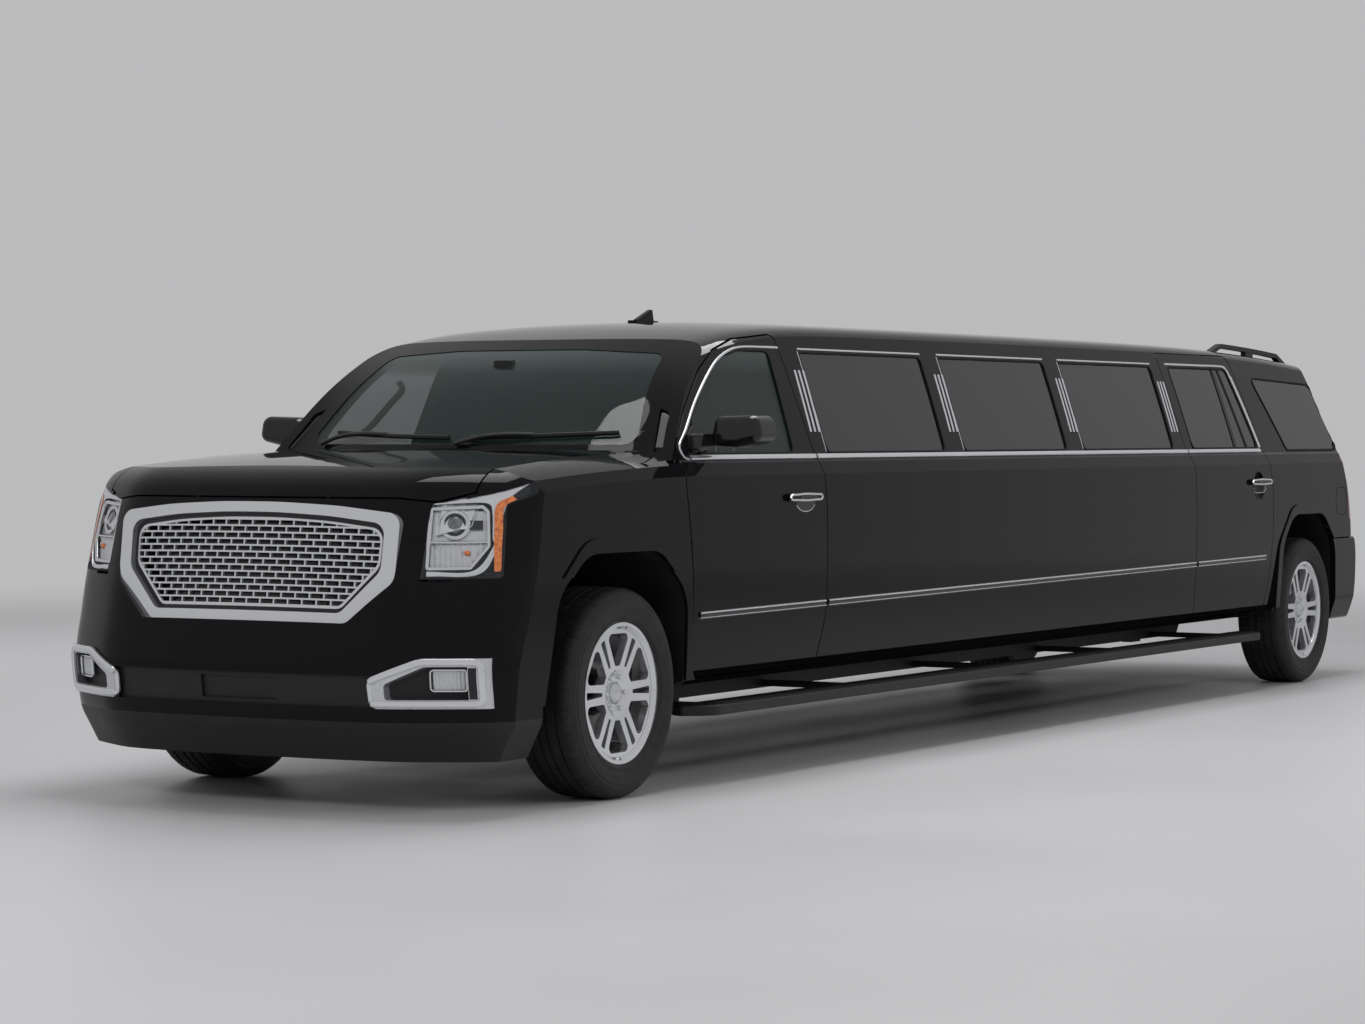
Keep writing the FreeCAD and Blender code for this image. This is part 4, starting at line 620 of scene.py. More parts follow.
def add_side_trim():
    """Chrome belt line and the lower moulding with its bright edges, on both sides."""
    for side in SIDES:
        end = SUFFIX[side]
        for index, (door, start, stop) in enumerate(BELT_RUNS):
            line = [(x, BELT_Z) for x in spread(start, stop, 2)]
            name = "belt_%d_%s" % (index, end)
            side_strip(name, door_body(door, side), line, 0.021, 0.009, CHROME, side)
        for index, (door, start, stop) in enumerate(MOULDING_RUNS):
            body = door_body(door, side)
            columns = spread(start, stop, 2)
            line = [(x, MOULDING_FRONT_Z + MOULDING_SLOPE * (MOULDING_FRONT - x)) for x in columns]
            name = "moulding_%d_%s" % (index, end)
            side_strip(name, body, line, 0.030, 0.007, GLOSS_BLACK, side)
            for place, shift, width in MOULDING_EDGES:
                edge = [(x, z + shift) for x, z in line]
                name = "moulding_%d_%s_%s" % (index, place, end)
                side_strip(name, body, edge, width, 0.010, CHROME, side)
        add_window_lines(side, end)


def add_window_lines(side, end):
    """Bright lines round the door glass and over the long windows, and the slanted pillar bars."""
    front = door_body("front", side)
    rear = door_body("rear", side)
    side_strip("front_glass_line_" + end, front, FRONT_GLASS_LINE, 0.011, 0.006, CHROME, side, count=70)
    side_strip("rear_glass_line_" + end, rear, REAR_GLASS_LINE, 0.013, 0.006, CHROME, side, count=60)
    side_strip("rear_glass_edge_" + end, rear, REAR_GLASS_EDGE, 0.024, 0.009, CHROME, side)
    for index, x in enumerate(WINDOW_FRONTS):
        for part, course, width, height in (
            ("line", WINDOW_TOP, 0.010, 0.005), ("edge", WINDOW_EDGE, 0.0035, 0.003),
        ):
            line = [(x + shift, z) for shift, z in course]
            name = "window_%s_%d_%s" % (part, index, end)
            side_strip(name, "body", line, width, height, CHROME, side)
    for index, x in enumerate(WINDOW_FRONTS + [REAR_CUT + 0.036]):
        for bar, course in enumerate(PILLAR_BARS):
            line = [(x + shift, z) for shift, z in course]
            name = "pillar_bar_%d_%d_%s" % (index, bar, end)
            side_strip(name, "body", line, 0.016, 0.004, CHROME, side)


HANDLES = (("front", at(-1.425)), ("rear", at(-6.685)))
HANDLE_Y = 1.0325
HANDLE_RING = [
    (0.139, 1.132), (0.130, 1.142), (0, 1.146), (-0.130, 1.142), (-0.139, 1.132), (-0.130, 1.122),
    (0, 1.119), (0.130, 1.122), (0.139, 1.132),
]
CUP_RADIUS = 0.084
CUP_HALF_HEIGHT = 0.0425
CUP_BEHIND_HANDLE = 0.025
CUP_Z = 1.1145


def add_handles():
    """Bright edge of each door's pull handle, and the dark cup with its lower rim behind it."""
    for side in SIDES:
        out = Vector((0, side, 0))
        for which, x in HANDLES:
            body = door_body(which, side)
            tag = which + "_" + SUFFIX[side]
            path = even_path([(x + a, side * HANDLE_Y, z) for a, z in HANDLE_RING], 64)[:-1]
            add_strip("handle_edge_" + tag, path, out, bead(0.010, 0.005), CHROME, body, True)
            cup_x = x - CUP_BEHIND_HANDLE
            rows = []
            for across in spread(-0.99, 0.99, 24):
                half = CUP_HALF_HEIGHT * math.sqrt(1 - across * across)
                column = cup_x + CUP_RADIUS * across
                rows.append([side_point(column, CUP_Z + half * up, side) for up in spread(-1, 1, 6)])
            front = shifted(rows, out * 0.0016)
            add_slab("handle_dish_" + tag, front, shifted(rows, out * -0.0010), GLOSS_BLACK, body)
            rim = []
            for degrees in spread(200, 340, 48):
                angle = math.radians(degrees)
                z = CUP_Z + CUP_HALF_HEIGHT * math.sin(angle)
                rim.append(side_point(cup_x + CUP_RADIUS * math.cos(angle), z, side))
            add_strip("handle_cup_" + tag, rim, out, bead(0.004, 0.0026), CHROME, body)


# Headlamps: (across, z) points are seen square to the lamp, from SEEN_FROM

LAMP_CORNER = -1.668
SEEN_FROM = Vector((0.8660, 0.5, 0))
SEEN_ACROSS = Vector((-0.5, 0.8660, 0))
LAMP_WINDOW = [
    (0.016, 1.113), (0.026, 1.122), (0.206, 1.130), (0.226, 1.112), (0.230, 0.988), (0.164, 0.908),
    (0.006, 0.906), (0.016, 1.113),
]
LAMP_BAR = [(0.008, 1.002), (0.09, 1.001), (0.228, 1.002)]
LAMP_BEZEL = [
    ((0.026, 1.137), (0.046, 1.149)), ((0.110, 1.142), (0.160, 1.172)), ((0.200, 1.145), (0.300, 1.199)),
    ((0.234, 1.136), (0.372, 1.213)), ((0.241, 1.110), (0.330, 1.185)), ((0.243, 1.080), (0.298, 1.158)),
    ((0.243, 1.020), (0.262, 1.049)), ((0.243, 0.981), (0.247, 0.949)), ((0.172, 0.898), (0.184, 0.883)),
    ((0.005, 0.896), (0.005, 0.880)),
]
LAMP_BACKING = [
    ((0.006, 0.880), (0.290, 0.882)), ((0.006, 1.080), (0.322, 1.060)), ((0.034, 1.140), (0.392, 1.205)),
]
LAMP_FLUTES = [((0.008, 0.909), (0.168, 0.912)), ((0.008, 0.998), (0.226, 0.998))]
LAMP_BOWL = [((0.014, 1.006), (0.226, 1.006)), ((0.018, 1.113), (0.224, 1.113))]
LAMP_SIDE_BLOCK = [((0.160, 1.048), (0.207, 1.048)), ((0.160, 1.080), (0.207, 1.080))]
LAMP_HUB = (0.105, 1.063)
LAMP_BULB = (0.150, 0.962)
# The amber strip's inner and outer edge, as (x, z) seen from the car's side
AMBER_STRIP = [
    ((4.440, 0.897), (4.459, 0.897)), ((4.425, 0.974), (4.446, 0.974)), ((4.409, 1.050), (4.431, 1.050)),
    ((4.396, 1.112), (4.416, 1.116)), ((4.378, 1.140), (4.396, 1.148)), ((4.345, 1.156), (4.356, 1.170)),
]
PROJECTOR_RING = [
    (0.055, -0.002), (0.056, 0.006), (0.052, 0.010), (0.043, 0.008), (0.040, 0.000), (0.041, -0.002),
]
PROJECTOR_SHADE = [(0.041, -0.002), (0.041, 0.006), (0.037, 0.009), (0.031, 0.006), (0.031, -0.002)]


def lamp_point(across, z, depth, side):
    """Point inside a headlamp, at a depth behind its lens."""
    start = SEEN_ACROSS * (LAMP_CORNER + across) + SEEN_FROM * 8.0
    origin = Vector((start.x, side * start.y, z))
    way = Vector((-SEEN_FROM.x, -side * SEEN_FROM.y, 0))
    point, _ = cast(LAMP_TREE, origin, way)
    if point is None:
        point, _, _, _ = LAMP_TREE.find_nearest(origin + way * 3.2)
    return point + way * depth


def lamp_side_point(x, z, depth, side):
    """Point of the lens at (x, z) seen from the side, at a depth inside it."""
    point, normal = cast(LAMP_TREE, (x, side * BESIDE_Y, z), (0, -side, 0))
    if point is None:
        point, normal, _, _ = LAMP_TREE.find_nearest(Vector((x, side * 0.95, z)))
    return point - (normal if normal.y * side > 0 else -normal) * depth


def flute(across):
    """Depth of the lower reflector's upright flutes."""
    return 0.008 * abs(math.sin(across * 170))


def lamp_area(name, pairs, depth, side, material, steps, across, thick=0.002, ripple=None, place=lamp_point):
    """A thin slab between matched pairs of points, following the lens; place makes a point of two numbers."""
    front = []
    back = []
    edges = [curve_points(flat(edge), steps) for edge in zip(*pairs)]
    for p, q in zip(*edges):
        spots = [p.lerp(q, k / across) for k in range(across + 1)]
        row = [(spot.x, spot.z, depth + (ripple(spot.x) if ripple else 0.0)) for spot in spots]
        front.append([place(a, b, d, side) for a, b, d in row])
        back.append([place(a, b, d + thick, side) for a, b, d in row])
    return add_slab(name, front, back, material)


def lamp_line(shape, points, depth, side, width, height, closed=False, count=80):
    """A raised bead inside a lamp along (across, z) points."""
    steps = even_path(flat(points), count)
    path = [lamp_point(p.x, p.z, depth, side) for p in (steps[:-1] if closed else steps)]
    sweep(shape, path, Vector((SEEN_FROM.x, side * SEEN_FROM.y, 0)), bead(width, height), closed)


def add_headlamps():
    """Projector, fluted reflector, chrome frame and broad bezel, and the amber strip behind each lens."""
    for side in SIDES:
        end = SUFFIX[side]
        across, z = LAMP_HUB
        centre = lamp_point(across, z, 0.018, side)
        leaning = lamp_point(across, z + 0.04, 0, side) - lamp_point(across, z - 0.04, 0, side)
        axis = leaning.cross(Vector((SEEN_ACROSS.x, side * SEEN_ACROSS.y, 0))).normalized()
        axis = axis if axis.x > 0 else -axis
        lamp_area("lamp_backing_" + end, LAMP_BACKING, 0.040, side, BLACK, 12, 24)
        lamp_area("lamp_flutes_" + end, LAMP_FLUTES, 0.019, side, REFLECTOR, 12, 56, ripple=flute)
        lamp_area("lamp_bowl_" + end, LAMP_BOWL, 0.025, side, REFLECTOR, 16, 20)
        lamp_area("lamp_bezel_" + end, LAMP_BEZEL, 0.005, side, BEZEL, 10, 8)

        def frame_lines(shape):
            lamp_line(shape, LAMP_WINDOW, 0.010, side, 0.014, 0.007, True, 120)
            lamp_line(shape, LAMP_BAR, 0.012, side, 0.008, 0.005)
            lamp_line(shape, [outer for _, outer in LAMP_BEZEL], 0.006, side, 0.004, 0.003, False, 100)

        mesh_object("lamp_frame_" + end, frame_lines, CHROME)
        add_turned("lamp_ring_" + end, PROJECTOR_RING, centre, axis, 48, CHROME)
        add_turned("lamp_shade_" + end, PROJECTOR_SHADE, centre, axis, 48, GLOSS_BLACK)
        add_dome("lamp_ball_" + end, centre, axis, 0.033, 0.014, BALL_GLASS)
        lamp_area("lamp_side_block_" + end, LAMP_SIDE_BLOCK, 0.010, side, GLOSS_BLACK, 6, 6, 0.010)
        add_dome("lamp_bulb_" + end, lamp_point(*LAMP_BULB, 0.020, side), axis, 0.011, 0.012, AMBER)
        lamp_area("lamp_amber_" + end, AMBER_STRIP, 0.0015, side, AMBER, 20, 4, place=lamp_side_point)


FOG_RING = [
    (0.785, 0.466), (0.882, 0.466), (0.888, 0.472), (0.888, 0.537), (0.882, 0.543), (0.785, 0.543),
    (0.778, 0.536), (0.777, 0.473), (0.785, 0.466),
]
FOG_FRAME = [
    (0.583, 0.419, 0.018), (0.940, 0.419, 0.026), (0.940, 0.572, 0.030), (0.752, 0.572, 0.080),
    (0.580, 0.500, 0.030),
]


def fog_point(y, z, depth, side):
    """Point behind a fog lamp's face, seen from the front."""
    point, _ = cast(FOG_TREE, (AHEAD_X, side * y, z), -FORWARD)
    if point is None:
        point, _, _, _ = FOG_TREE.find_nearest(Vector((4.65, side * y, z)))
    return point - FORWARD * depth


def fog_wave(y):
    """Depth of the fog lamp's upright flutes."""
    return 0.008 + 0.004 * abs(math.sin((y - 0.78) * 300))


def bezel_spot(y, z, side):
    """Point and forward normal of the fog lamp's surround, or None past its edge."""
    point, normal = cast(BEZEL_TREE, (AHEAD_X, side * y, z), -FORWARD)
    return (point, normal if normal.x > 0 else -normal) if point else None


def add_fog_lamps():
    """Fluted reflector and bright rim of each fog lamp, and its surround's bright edge and pocket."""
    for side in SIDES:
        end = SUFFIX[side]
        heights = spread(0.470, 0.539, 10)
        columns = spread(0.782, 0.884, 60)
        front = [[fog_point(y, z, fog_wave(y), side) for y in columns] for z in heights]
        back = [[fog_point(y, z, 0.014, side) for y in columns] for z in heights]
        add_slab("fog_reflector_" + end, front, back, REFLECTOR)
        path = [fog_point(p.x, p.z, -0.001, side) for p in even_path(flat(FOG_RING), 96)[:-1]]
        out = Vector((0.8, side * 0.6, 0))
        add_strip("fog_ring_" + end, path, out, bead(0.006, 0.004), CHROME, closed=True)
        laid = [bezel_spot(p.x, p.z, side) for p in rounded_loop(FOG_FRAME, 150)]
        rim, face = zip(*[spot for spot in laid if spot])
        add_strip("fog_frame_" + end, rim, face, bead(0.026, 0.009, 6), CHROME, closed=True)
        rows = [[bezel_spot(y, z, side) for y in spread(0.902, 0.926, 4)] for z in spread(0.437, 0.551, 8)]
        front = [[p + n * 0.0018 for p, n in row] for row in rows]
        back = [[p - n * 0.001 for p, n in row] for row in rows]
        add_slab("fog_pocket_" + end, front, back, GLOSS_BLACK)


# Wheels

WHEELS = (
    ("fl", FRONT_AXLE, 1, "wheel_fl", "knuckle_left"), ("fr", FRONT_AXLE, -1, "wheel_fr", "knuckle_right"),
    ("rl", REAR_AXLE, 1, "wheel_rl", "body"), ("rr", REAR_AXLE, -1, "wheel_rr", "body"),
)
TREAD_PITCHES = 72
SHOULDER_GAP = 0.0045
BLOCK_GAP = 0.0040
OUTER_BLOCK_POINTS = 5
GROOVE_R = 0.400
# Half section of the tyre from the bead out to the middle of the tread, as (radius, along)
TYRE_WALL = [
    (0.262, 0.094), (0.2715, 0.1165), (0.277, 0.1230), (0.286, 0.1275), (0.288, 0.1300), (0.292, 0.1285),
    (0.310, 0.1340), (0.330, 0.1368), (0.343, 0.1366), (0.3445, 0.1373), (0.3475, 0.1373), (0.349, 0.1362),
    (0.362, 0.1335), (0.3635, 0.1342), (0.367, 0.1336), (0.3685, 0.1322), (0.378, 0.1275), (0.387, 0.1215),
    (0.395, 0.1135), (0.4005, 0.1040),
]
TYRE_TREAD = [
    (0.4035, 0.0930), (0.4040, 0.0700), (0.3960, 0.0685), (0.3960, 0.0615), (0.4043, 0.0600),
    (0.4047, 0.0240), (0.3965, 0.0225), (0.3965, 0.0155), (0.4048, 0.0140),
]
TYRE_HALF = TYRE_WALL + TYRE_TREAD
TYRE_SECTION = TYRE_HALF + [(r, -y) for r, y in TYRE_HALF[::-1]]
LUG_NUT = [(0.0001, 0.014), (0.006, 0.013), (0.0095, 0.008), (0.0105, -0.006), (0.0001, -0.006)]
LUG_CIRCLE_R = 0.068
HUB_CAP = [
    (0.0001, 0.018), (0.018, 0.0175), (0.030, 0.015), (0.037, 0.010), (0.0405, 0.003), (0.042, -0.010),
    (0.0001, -0.010),
]
CAP_RING = [(0.0445, 0.001), (0.048, 0.000), (0.049, -0.010), (0.043, -0.010)]
VALVE = [(0.0001, 0.022), (0.003, 0.022), (0.004, 0.016), (0.004, -0.030), (0.0001, -0.030)]
HUB_OUT = 0.0845
DISC_IN = 0.012
VALVE_OUT = 0.080
VALVE_R = 0.215
VALVE_ANGLE = 0.52
BRAKE_DISC = [(0.090, 0.0006), (0.094, 0.0030), (0.167, 0.0030), (0.1695, 0.0006)]
CALIPER_MIDDLE = math.pi / 2 + 0.62
CALIPER_ANGLE = 1.1
CALIPER_STEPS = 14


def tread_block(i, j):
    """How far the tyre's section sinks at segment i and section point j, for the gaps between blocks."""
    place = min(j, len(TYRE_SECTION) - 1 - j)
    wall = len(TYRE_WALL)
    if place < wall - 2:
        return 0.0
    if place <= wall:
        return -SHOULDER_GAP if i % 4 == 0 else 0.0
    if TYRE_SECTION[j][0] < GROOVE_R:
        return 0.0
    phase = 1 if place < wall + OUTER_BLOCK_POINTS else 3
    return -BLOCK_GAP if (i + phase) % 4 == 0 else 0.0


def ray(radius, angle):
    """Offset from a wheel's centre in its own plane."""
    return Vector((radius * math.cos(angle), 0, radius * math.sin(angle)))


def add_tyres():
    """Tyres with grooves, tread blocks and ribbed sidewalls."""
    for name, x, side, body, _ in WHEELS:
        centre = Vector((x, side * WHEEL_Y, WHEEL_R))
        segments = TREAD_PITCHES * 4
        tag = "tread_tyre_" + name
        tyre = add_turned(tag, TYRE_SECTION, centre, ACROSS, segments, RUBBER, body, tread_block)
        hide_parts("tyre_" + name)


def add_caliper(name, disc, axis, body):
    """Brake caliper over the upper rear of a disc."""
    front = []
    back = []
    for share in spread(0, 1, CALIPER_STEPS):
        angle = CALIPER_MIDDLE + (share - 0.5) * CALIPER_ANGLE
        edge = 0.006 * math.sin(math.pi * share)
        radii = (0.112 - edge, 0.125, 0.150, 0.172, 0.180 + edge)
        back.append([disc + ray(radius, angle) + axis * 0.0035 for radius in radii])
        rises = [0.022 if 0.12 < radius < 0.175 else 0.014 for radius in radii]
        front.append([disc + ray(radius, angle) + axis * rise for radius, rise in zip(radii, rises)])
    add_slab(name, front, back, IRON, body)


def add_wheel_fittings():
    """Lug nuts, centre caps, valve stems, brake discs and calipers."""
    for name, x, side, body, carrier in WHEELS:
        axis = Vector((0, side, 0))
        hub = Vector((x, side * (WHEEL_Y + HUB_OUT), WHEEL_R))

        def nuts(shape):
            for k in range(6):
                lathe(shape, LUG_NUT, hub + ray(LUG_CIRCLE_R, math.radians(60 * k)), axis, 6)

        mesh_object("nuts_" + name, nuts, CHROME, body, crease=25.0)
        add_turned("cap_" + name, HUB_CAP, hub, axis, 48, SATIN_CHROME, body)
        add_turned("cap_ring_" + name, CAP_RING, hub, axis, 48, CHROME, body)
        valve = Vector((x, side * (WHEEL_Y + VALVE_OUT), WHEEL_R)) + ray(VALVE_R, VALVE_ANGLE)
        add_turned("valve_" + name, VALVE, valve, axis, 12, BLACK, body)
        disc = Vector((x, side * (WHEEL_Y - DISC_IN), WHEEL_R))
        add_turned("brake_disc_" + name, BRAKE_DISC, disc, axis, 96, DISC, carrier)
        add_caliper("caliper_" + name, disc, axis, carrier)


# Glasshouse fittings

MIRROR_LOW = 1.362
MIRROR_HIGH = 1.452
WIPER_OUT = Vector((0.5, 0, 0.87))
WIPER_BLADE = [
    (-0.004, -0.004), (0.006, -0.009), (0.014, -0.003), (0.014, 0.003), (0.006, 0.009), (-0.004, 0.004),
]
WIPER_ARM = [
    (-0.004, -0.010), (0.006, -0.010), (0.010, -0.004), (0.010, 0.004), (0.006, 0.010), (-0.004, 0.010),
]
# Each wiper's blade and arm, as (y, z) seen from the front
WIPERS = (
    (((0.700, 1.392), (0.400, 1.380), (0.075, 1.372)),
     ((0.030, 1.345), (0.130, 1.362), (0.360, 1.382))),
    (((-0.020, 1.372), (-0.330, 1.378), (-0.640, 1.392)),
     ((-0.700, 1.345), (-0.600, 1.366), (-0.350, 1.382))),
)


def add_mirror_glass():
    """Reflecting glass in the rear of each door mirror."""
    for side in SIDES:
        end = SUFFIX[side]
        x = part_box("mirror_" + end)[0].x
        rows = []
        for z in spread(MIRROR_LOW, MIRROR_HIGH, 8):
            inner = 1.018 + 0.010 * (z - MIRROR_LOW) / (MIRROR_HIGH - MIRROR_LOW)
            rows.append([Vector((x, side * y, z)) for y in spread(inner, 1.200, 10)])
        front = shifted(rows, FORWARD * -0.0012)
        back = shifted(rows, FORWARD * 0.004)
        add_slab("mirror_glass_" + end, front, back, MIRROR, door_body("front", side))


def screen_point(y, z, proud):
    """Point in front of the windscreen, seen from the front."""
    point, normal = cast(SCREEN_TREE, (AHEAD_X, y, z), -FORWARD)
    return point + normal * (proud if normal.x > 0 else -proud)


def add_wipers():
    """Two wipers parked along the foot of the windscreen."""
    for index, (blade, arm) in enumerate(WIPERS):
        path = [screen_point(p.x, p.z, 0.006) for p in smooth_path(flat(blade), 30)]
        add_strip("wiper_blade_%d" % index, path, WIPER_OUT, WIPER_BLADE, BLACK)
        path = [screen_point(p.x, p.z, 0.012) for p in smooth_path(flat(arm), 20)]
        path = [p + UP * (0.012 * math.sin(math.pi * i / 20)) for i, p in enumerate(path)]
        add_strip("wiper_arm_%d" % index, path, WIPER_OUT, WIPER_ARM, BLACK)


# Seals: outlines of (x, z, corner radius)

GLASS_LOW = 1.316
GLASS_HIGH = 1.742
FRONT_GLASS = [
    (at(-0.650), GLASS_LOW, 0.012), (at(-0.650), 1.452, 0.060), (at(-0.866), 1.612, 0.250),
    (at(-1.050), 1.708, 0.150), (at(-1.230), GLASS_HIGH, 0.120), (at(-1.486), GLASS_HIGH, 0.025),
    (at(-1.434), GLASS_LOW, 0.025),
]
QUARTER_GLASS = [
    (at(-7.215), 1.302, 0.040), (at(-7.010), 1.700, 0.040), (at(-7.920), 1.672, 0.060),
    (at(-8.025), 1.302, 0.040),
]
REAR_GLASS = [
    (at(-5.845), GLASS_LOW, 0.025), (at(-5.869), GLASS_HIGH, 0.025), (at(-6.684), GLASS_HIGH, 0.040),
    (at(-6.786), GLASS_LOW, 0.030),
]
REAR_GLASS_SPLIT = [(at(-6.625), 1.320), (at(-6.598), 1.530), (at(-6.570), 1.738)]
FILLER_X = at(-7.986)
FILLER_Z = 1.007
FILLER_CORNERS = ((0.085, -0.078), (0.085, 0.078), (-0.085, 0.078), (-0.085, -0.078))
SAIL = [
    (at(-0.575), 1.330), (at(-0.668), 1.330), (at(-0.700), 1.400), (at(-0.655), 1.432), (at(-0.585), 1.392),
]


def add_seals():
    """Black rubber round the side windows, the split in the rear doors' glass, and the filler's seam."""
    for side in SIDES:
        end = SUFFIX[side]
        rear = door_body("rear", side)
        side_ring("front_seal_" + end, door_body("front", side), FRONT_GLASS, side)
        side_ring("quarter_seal_" + end, "body", QUARTER_GLASS, side)
        for index, x in enumerate(WINDOW_FRONTS):
            outline = [
                (x, GLASS_LOW, 0.025), (x - 0.024, GLASS_HIGH, 0.025),
                (x - WINDOW_LENGTH - 0.040, GLASS_HIGH, 0.025), (x - WINDOW_LENGTH, GLASS_LOW, 0.025),
            ]
            side_ring("window_seal_%d_%s" % (index, end), "body", outline, side)
        side_ring("rear_seal_" + end, rear, REAR_GLASS, side)
        side_strip("rear_glass_split_" + end, rear, REAR_GLASS_SPLIT, 0.030, 0.004, SEAL, side)
    flap = [(FILLER_X + across, FILLER_Z + rise, 0.060) for across, rise in FILLER_CORNERS]
    side_ring("filler_seam", "body", flap, 1, 0.004, 0.0010, 90)


def even_corners(corners):
    """Thirteen points along straight runs between (x, z) corners, as many on each run."""
    runs = len(corners) - 1
    points = flat(corners)
    result = []
    for k in range(12):
        run, step = divmod(k * runs, 12)
        result.append(points[run].lerp(points[run + 1], step / 12))
    return result + [points[-1]]


def add_mirror_sails():
    """Black sail in the front lower corner of each front door's glass."""
    foot = even_corners(SAIL[:2])
    head = even_corners(SAIL[:1:-1])
    for side in SIDES:
        rows = []
        for low, high in zip(foot, head):
            rows.append([low.lerp(high, j / 8) for j in range(9)])
        front, back = [
            [[side_point(p.x, p.z, side, proud, 0.006, 0.006) for p in row] for row in rows]
            for proud in (0.004, -0.002)
        ]
        add_slab("mirror_sail_" + SUFFIX[side], front, back, BLACK, door_body("front", side))


# Seats and boxes

PAD_PRESSURE = 4.0
PAD_SWELL_CAP = 0.012
CLOTH_FRAMES = 20
SEAM_WIDTH = 0.007
SEAM_DEPTH = 0.009
SEAT_Y = 0.410
SEAT_WINGS = (-0.135, 0.135)
SEAT_BACK_X = at(-1.762)
SEAT_BACK_Z = 1.030
SEAT_LEAN = Vector((at(-1.845), 0, 1.325)) - Vector((at(-1.700), 0, 0.745))
LOUNGE_PITCH = 0.632
LOUNGE_REAR_PITCH = 0.512


def rounded_box(shape, half, radius, cell, centre=Vector((0, 0, 0)), axes=(FORWARD, ACROSS, UP)):
    """A closed box with rounded edges, divided into cells, along three axes about its centre."""
    counts = [max(3, round(2 * h / cell)) for h in half]
    made = {}

    def vert(key):
        if key not in made:
            raw = [half[a] * (2 * n / counts[a] - 1) for a, n in enumerate(key)]
            core = Vector([max(radius - half[a], min(half[a] - radius, raw[a])) for a in range(3)])
            off = Vector(raw) - core
            point = core + off.normalized() * radius if off.length > 0 else core
            made[key] = shape.verts.new(centre + axes[0] * point.x + axes[1] * point.y + axes[2] * point.z)
        return made[key]

    for axis in range(3):
        u, v = [a for a in range(3) if a != axis]
        for level in (0, counts[axis]):
            for i in range(counts[u]):
                for j in range(counts[v]):
                    corners = []
                    for du, dv in ((0, 0), (1, 0), (1, 1), (0, 1)):
                        key = [level, level, level]
                        key[u] = i + du
                        key[v] = j + dv
                        corners.append(vert(tuple(key)))
                    shape.faces.new(corners)


def add_boxes(name, boxes, material, body="body"):
    """A piece of one or more rounded boxes."""
    def build(shape):
        for box in boxes:
            rounded_box(shape, *box)

    return mesh_object(name, build, material, body)


def swell(piece):
    """Blow a pad up as cloth with pressure, then hold each point near where it started."""
    start = [v.co.copy() for v in piece.data.vertices]
    modifier = piece.modifiers.new("cloth", "CLOTH")
    settings = modifier.settings
    settings.quality = 6
    settings.use_pressure = True
    settings.uniform_pressure_force = PAD_PRESSURE
    settings.effector_weights.gravity = 0.0
    modifier.point_cache.frame_start = 1
    modifier.point_cache.frame_end = CLOTH_FRAMES
    for number in range(1, CLOTH_FRAMES + 1):
        bpy.context.scene.frame_set(number)
    graph = bpy.context.evaluated_depsgraph_get()
    blown = [v.co.copy() for v in piece.evaluated_get(graph).data.vertices]
    piece.modifiers.remove(modifier)
    for vertex, before, after in zip(piece.data.vertices, start, blown):
        move = after - before
        if move.length > PAD_SWELL_CAP:
            move = move.normalized() * PAD_SWELL_CAP
        vertex.co = before + move
    bpy.context.scene.frame_set(1)


def make_pad(name, half, radius, cell, seams=(), bow=0.0):
    """A cushion about its own centre: x long, y wide, z thick, with seams sunk across its top and piping."""
    shape = bmesh.new()
    rounded_box(shape, half, radius, cell)
    bmesh.ops.recalc_face_normals(shape, faces=shape.faces)
    piece = object_from(name, shape)
    swell(piece)
    piece.modifiers.new("soft", "SUBSURF").levels = 1
    graph = bpy.context.evaluated_depsgraph_get()
    final = bpy.data.meshes.new_from_object(piece.evaluated_get(graph))
    bpy.data.objects.remove(piece)
    for vertex in final.vertices:
        p = vertex.co
        if p.z > 0:
            sunk = [math.exp(-((p[axis] - spot) / SEAM_WIDTH) ** 2) for axis, spot in seams]
            p.z -= SEAM_DEPTH * max(sunk, default=0.0)
            p.z += bow * (p.y / half[1]) ** 2
    add_piping(final, half, radius, bow)
    for polygon in final.polygons:
        polygon.use_smooth = True
    final.materials.append(LEATHER)
    return final


def add_piping(mesh, half, radius, bow):
    """Piping round the top edge of a pad."""
    piping = bmesh.new()
    piping.from_mesh(mesh)
    x = half[0] - radius * 0.25
    y = half[1] - radius * 0.25
    loop = rounded_loop([(x, -y, radius), (x, y, radius), (-x, y, radius), (-x, -y, radius)], 72)
    edge = half[2] - radius * 0.3
    path = [Vector((p.x, p.z, edge + bow * (p.z / half[1]) ** 2)) for p in loop]
    out = [Vector((p.x / half[0] ** 2, p.z / half[1] ** 2, 8.0)) for p in loop]
    sweep(piping, path, out, oval(0.004, 0.004, 6, 0.004), True)
    piping.to_mesh(mesh)
    piping.free()


def lay_pad(name, mesh, centre, along, up, replaced):
    """Put a copy of a pad's mesh in place: its x runs along, its z faces up."""
    along = Vector(along).normalized()
    up = Vector(up)
    up = (up - along * up.dot(along)).normalized()
    turn = Matrix((along, up.cross(along), up)).transposed().to_4x4()
    copy = mesh.copy()
    copy.transform(Matrix.Translation(Vector(centre)) @ turn)
    piece = bpy.data.objects.new(name, copy)
    link(piece)
    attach(piece, "body")
    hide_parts(replaced)


def across_and_along(across, along):
    """Seams at places across a pad's width and along its length."""
    return [(1, y) for y in across] + [(0, x) for x in along]


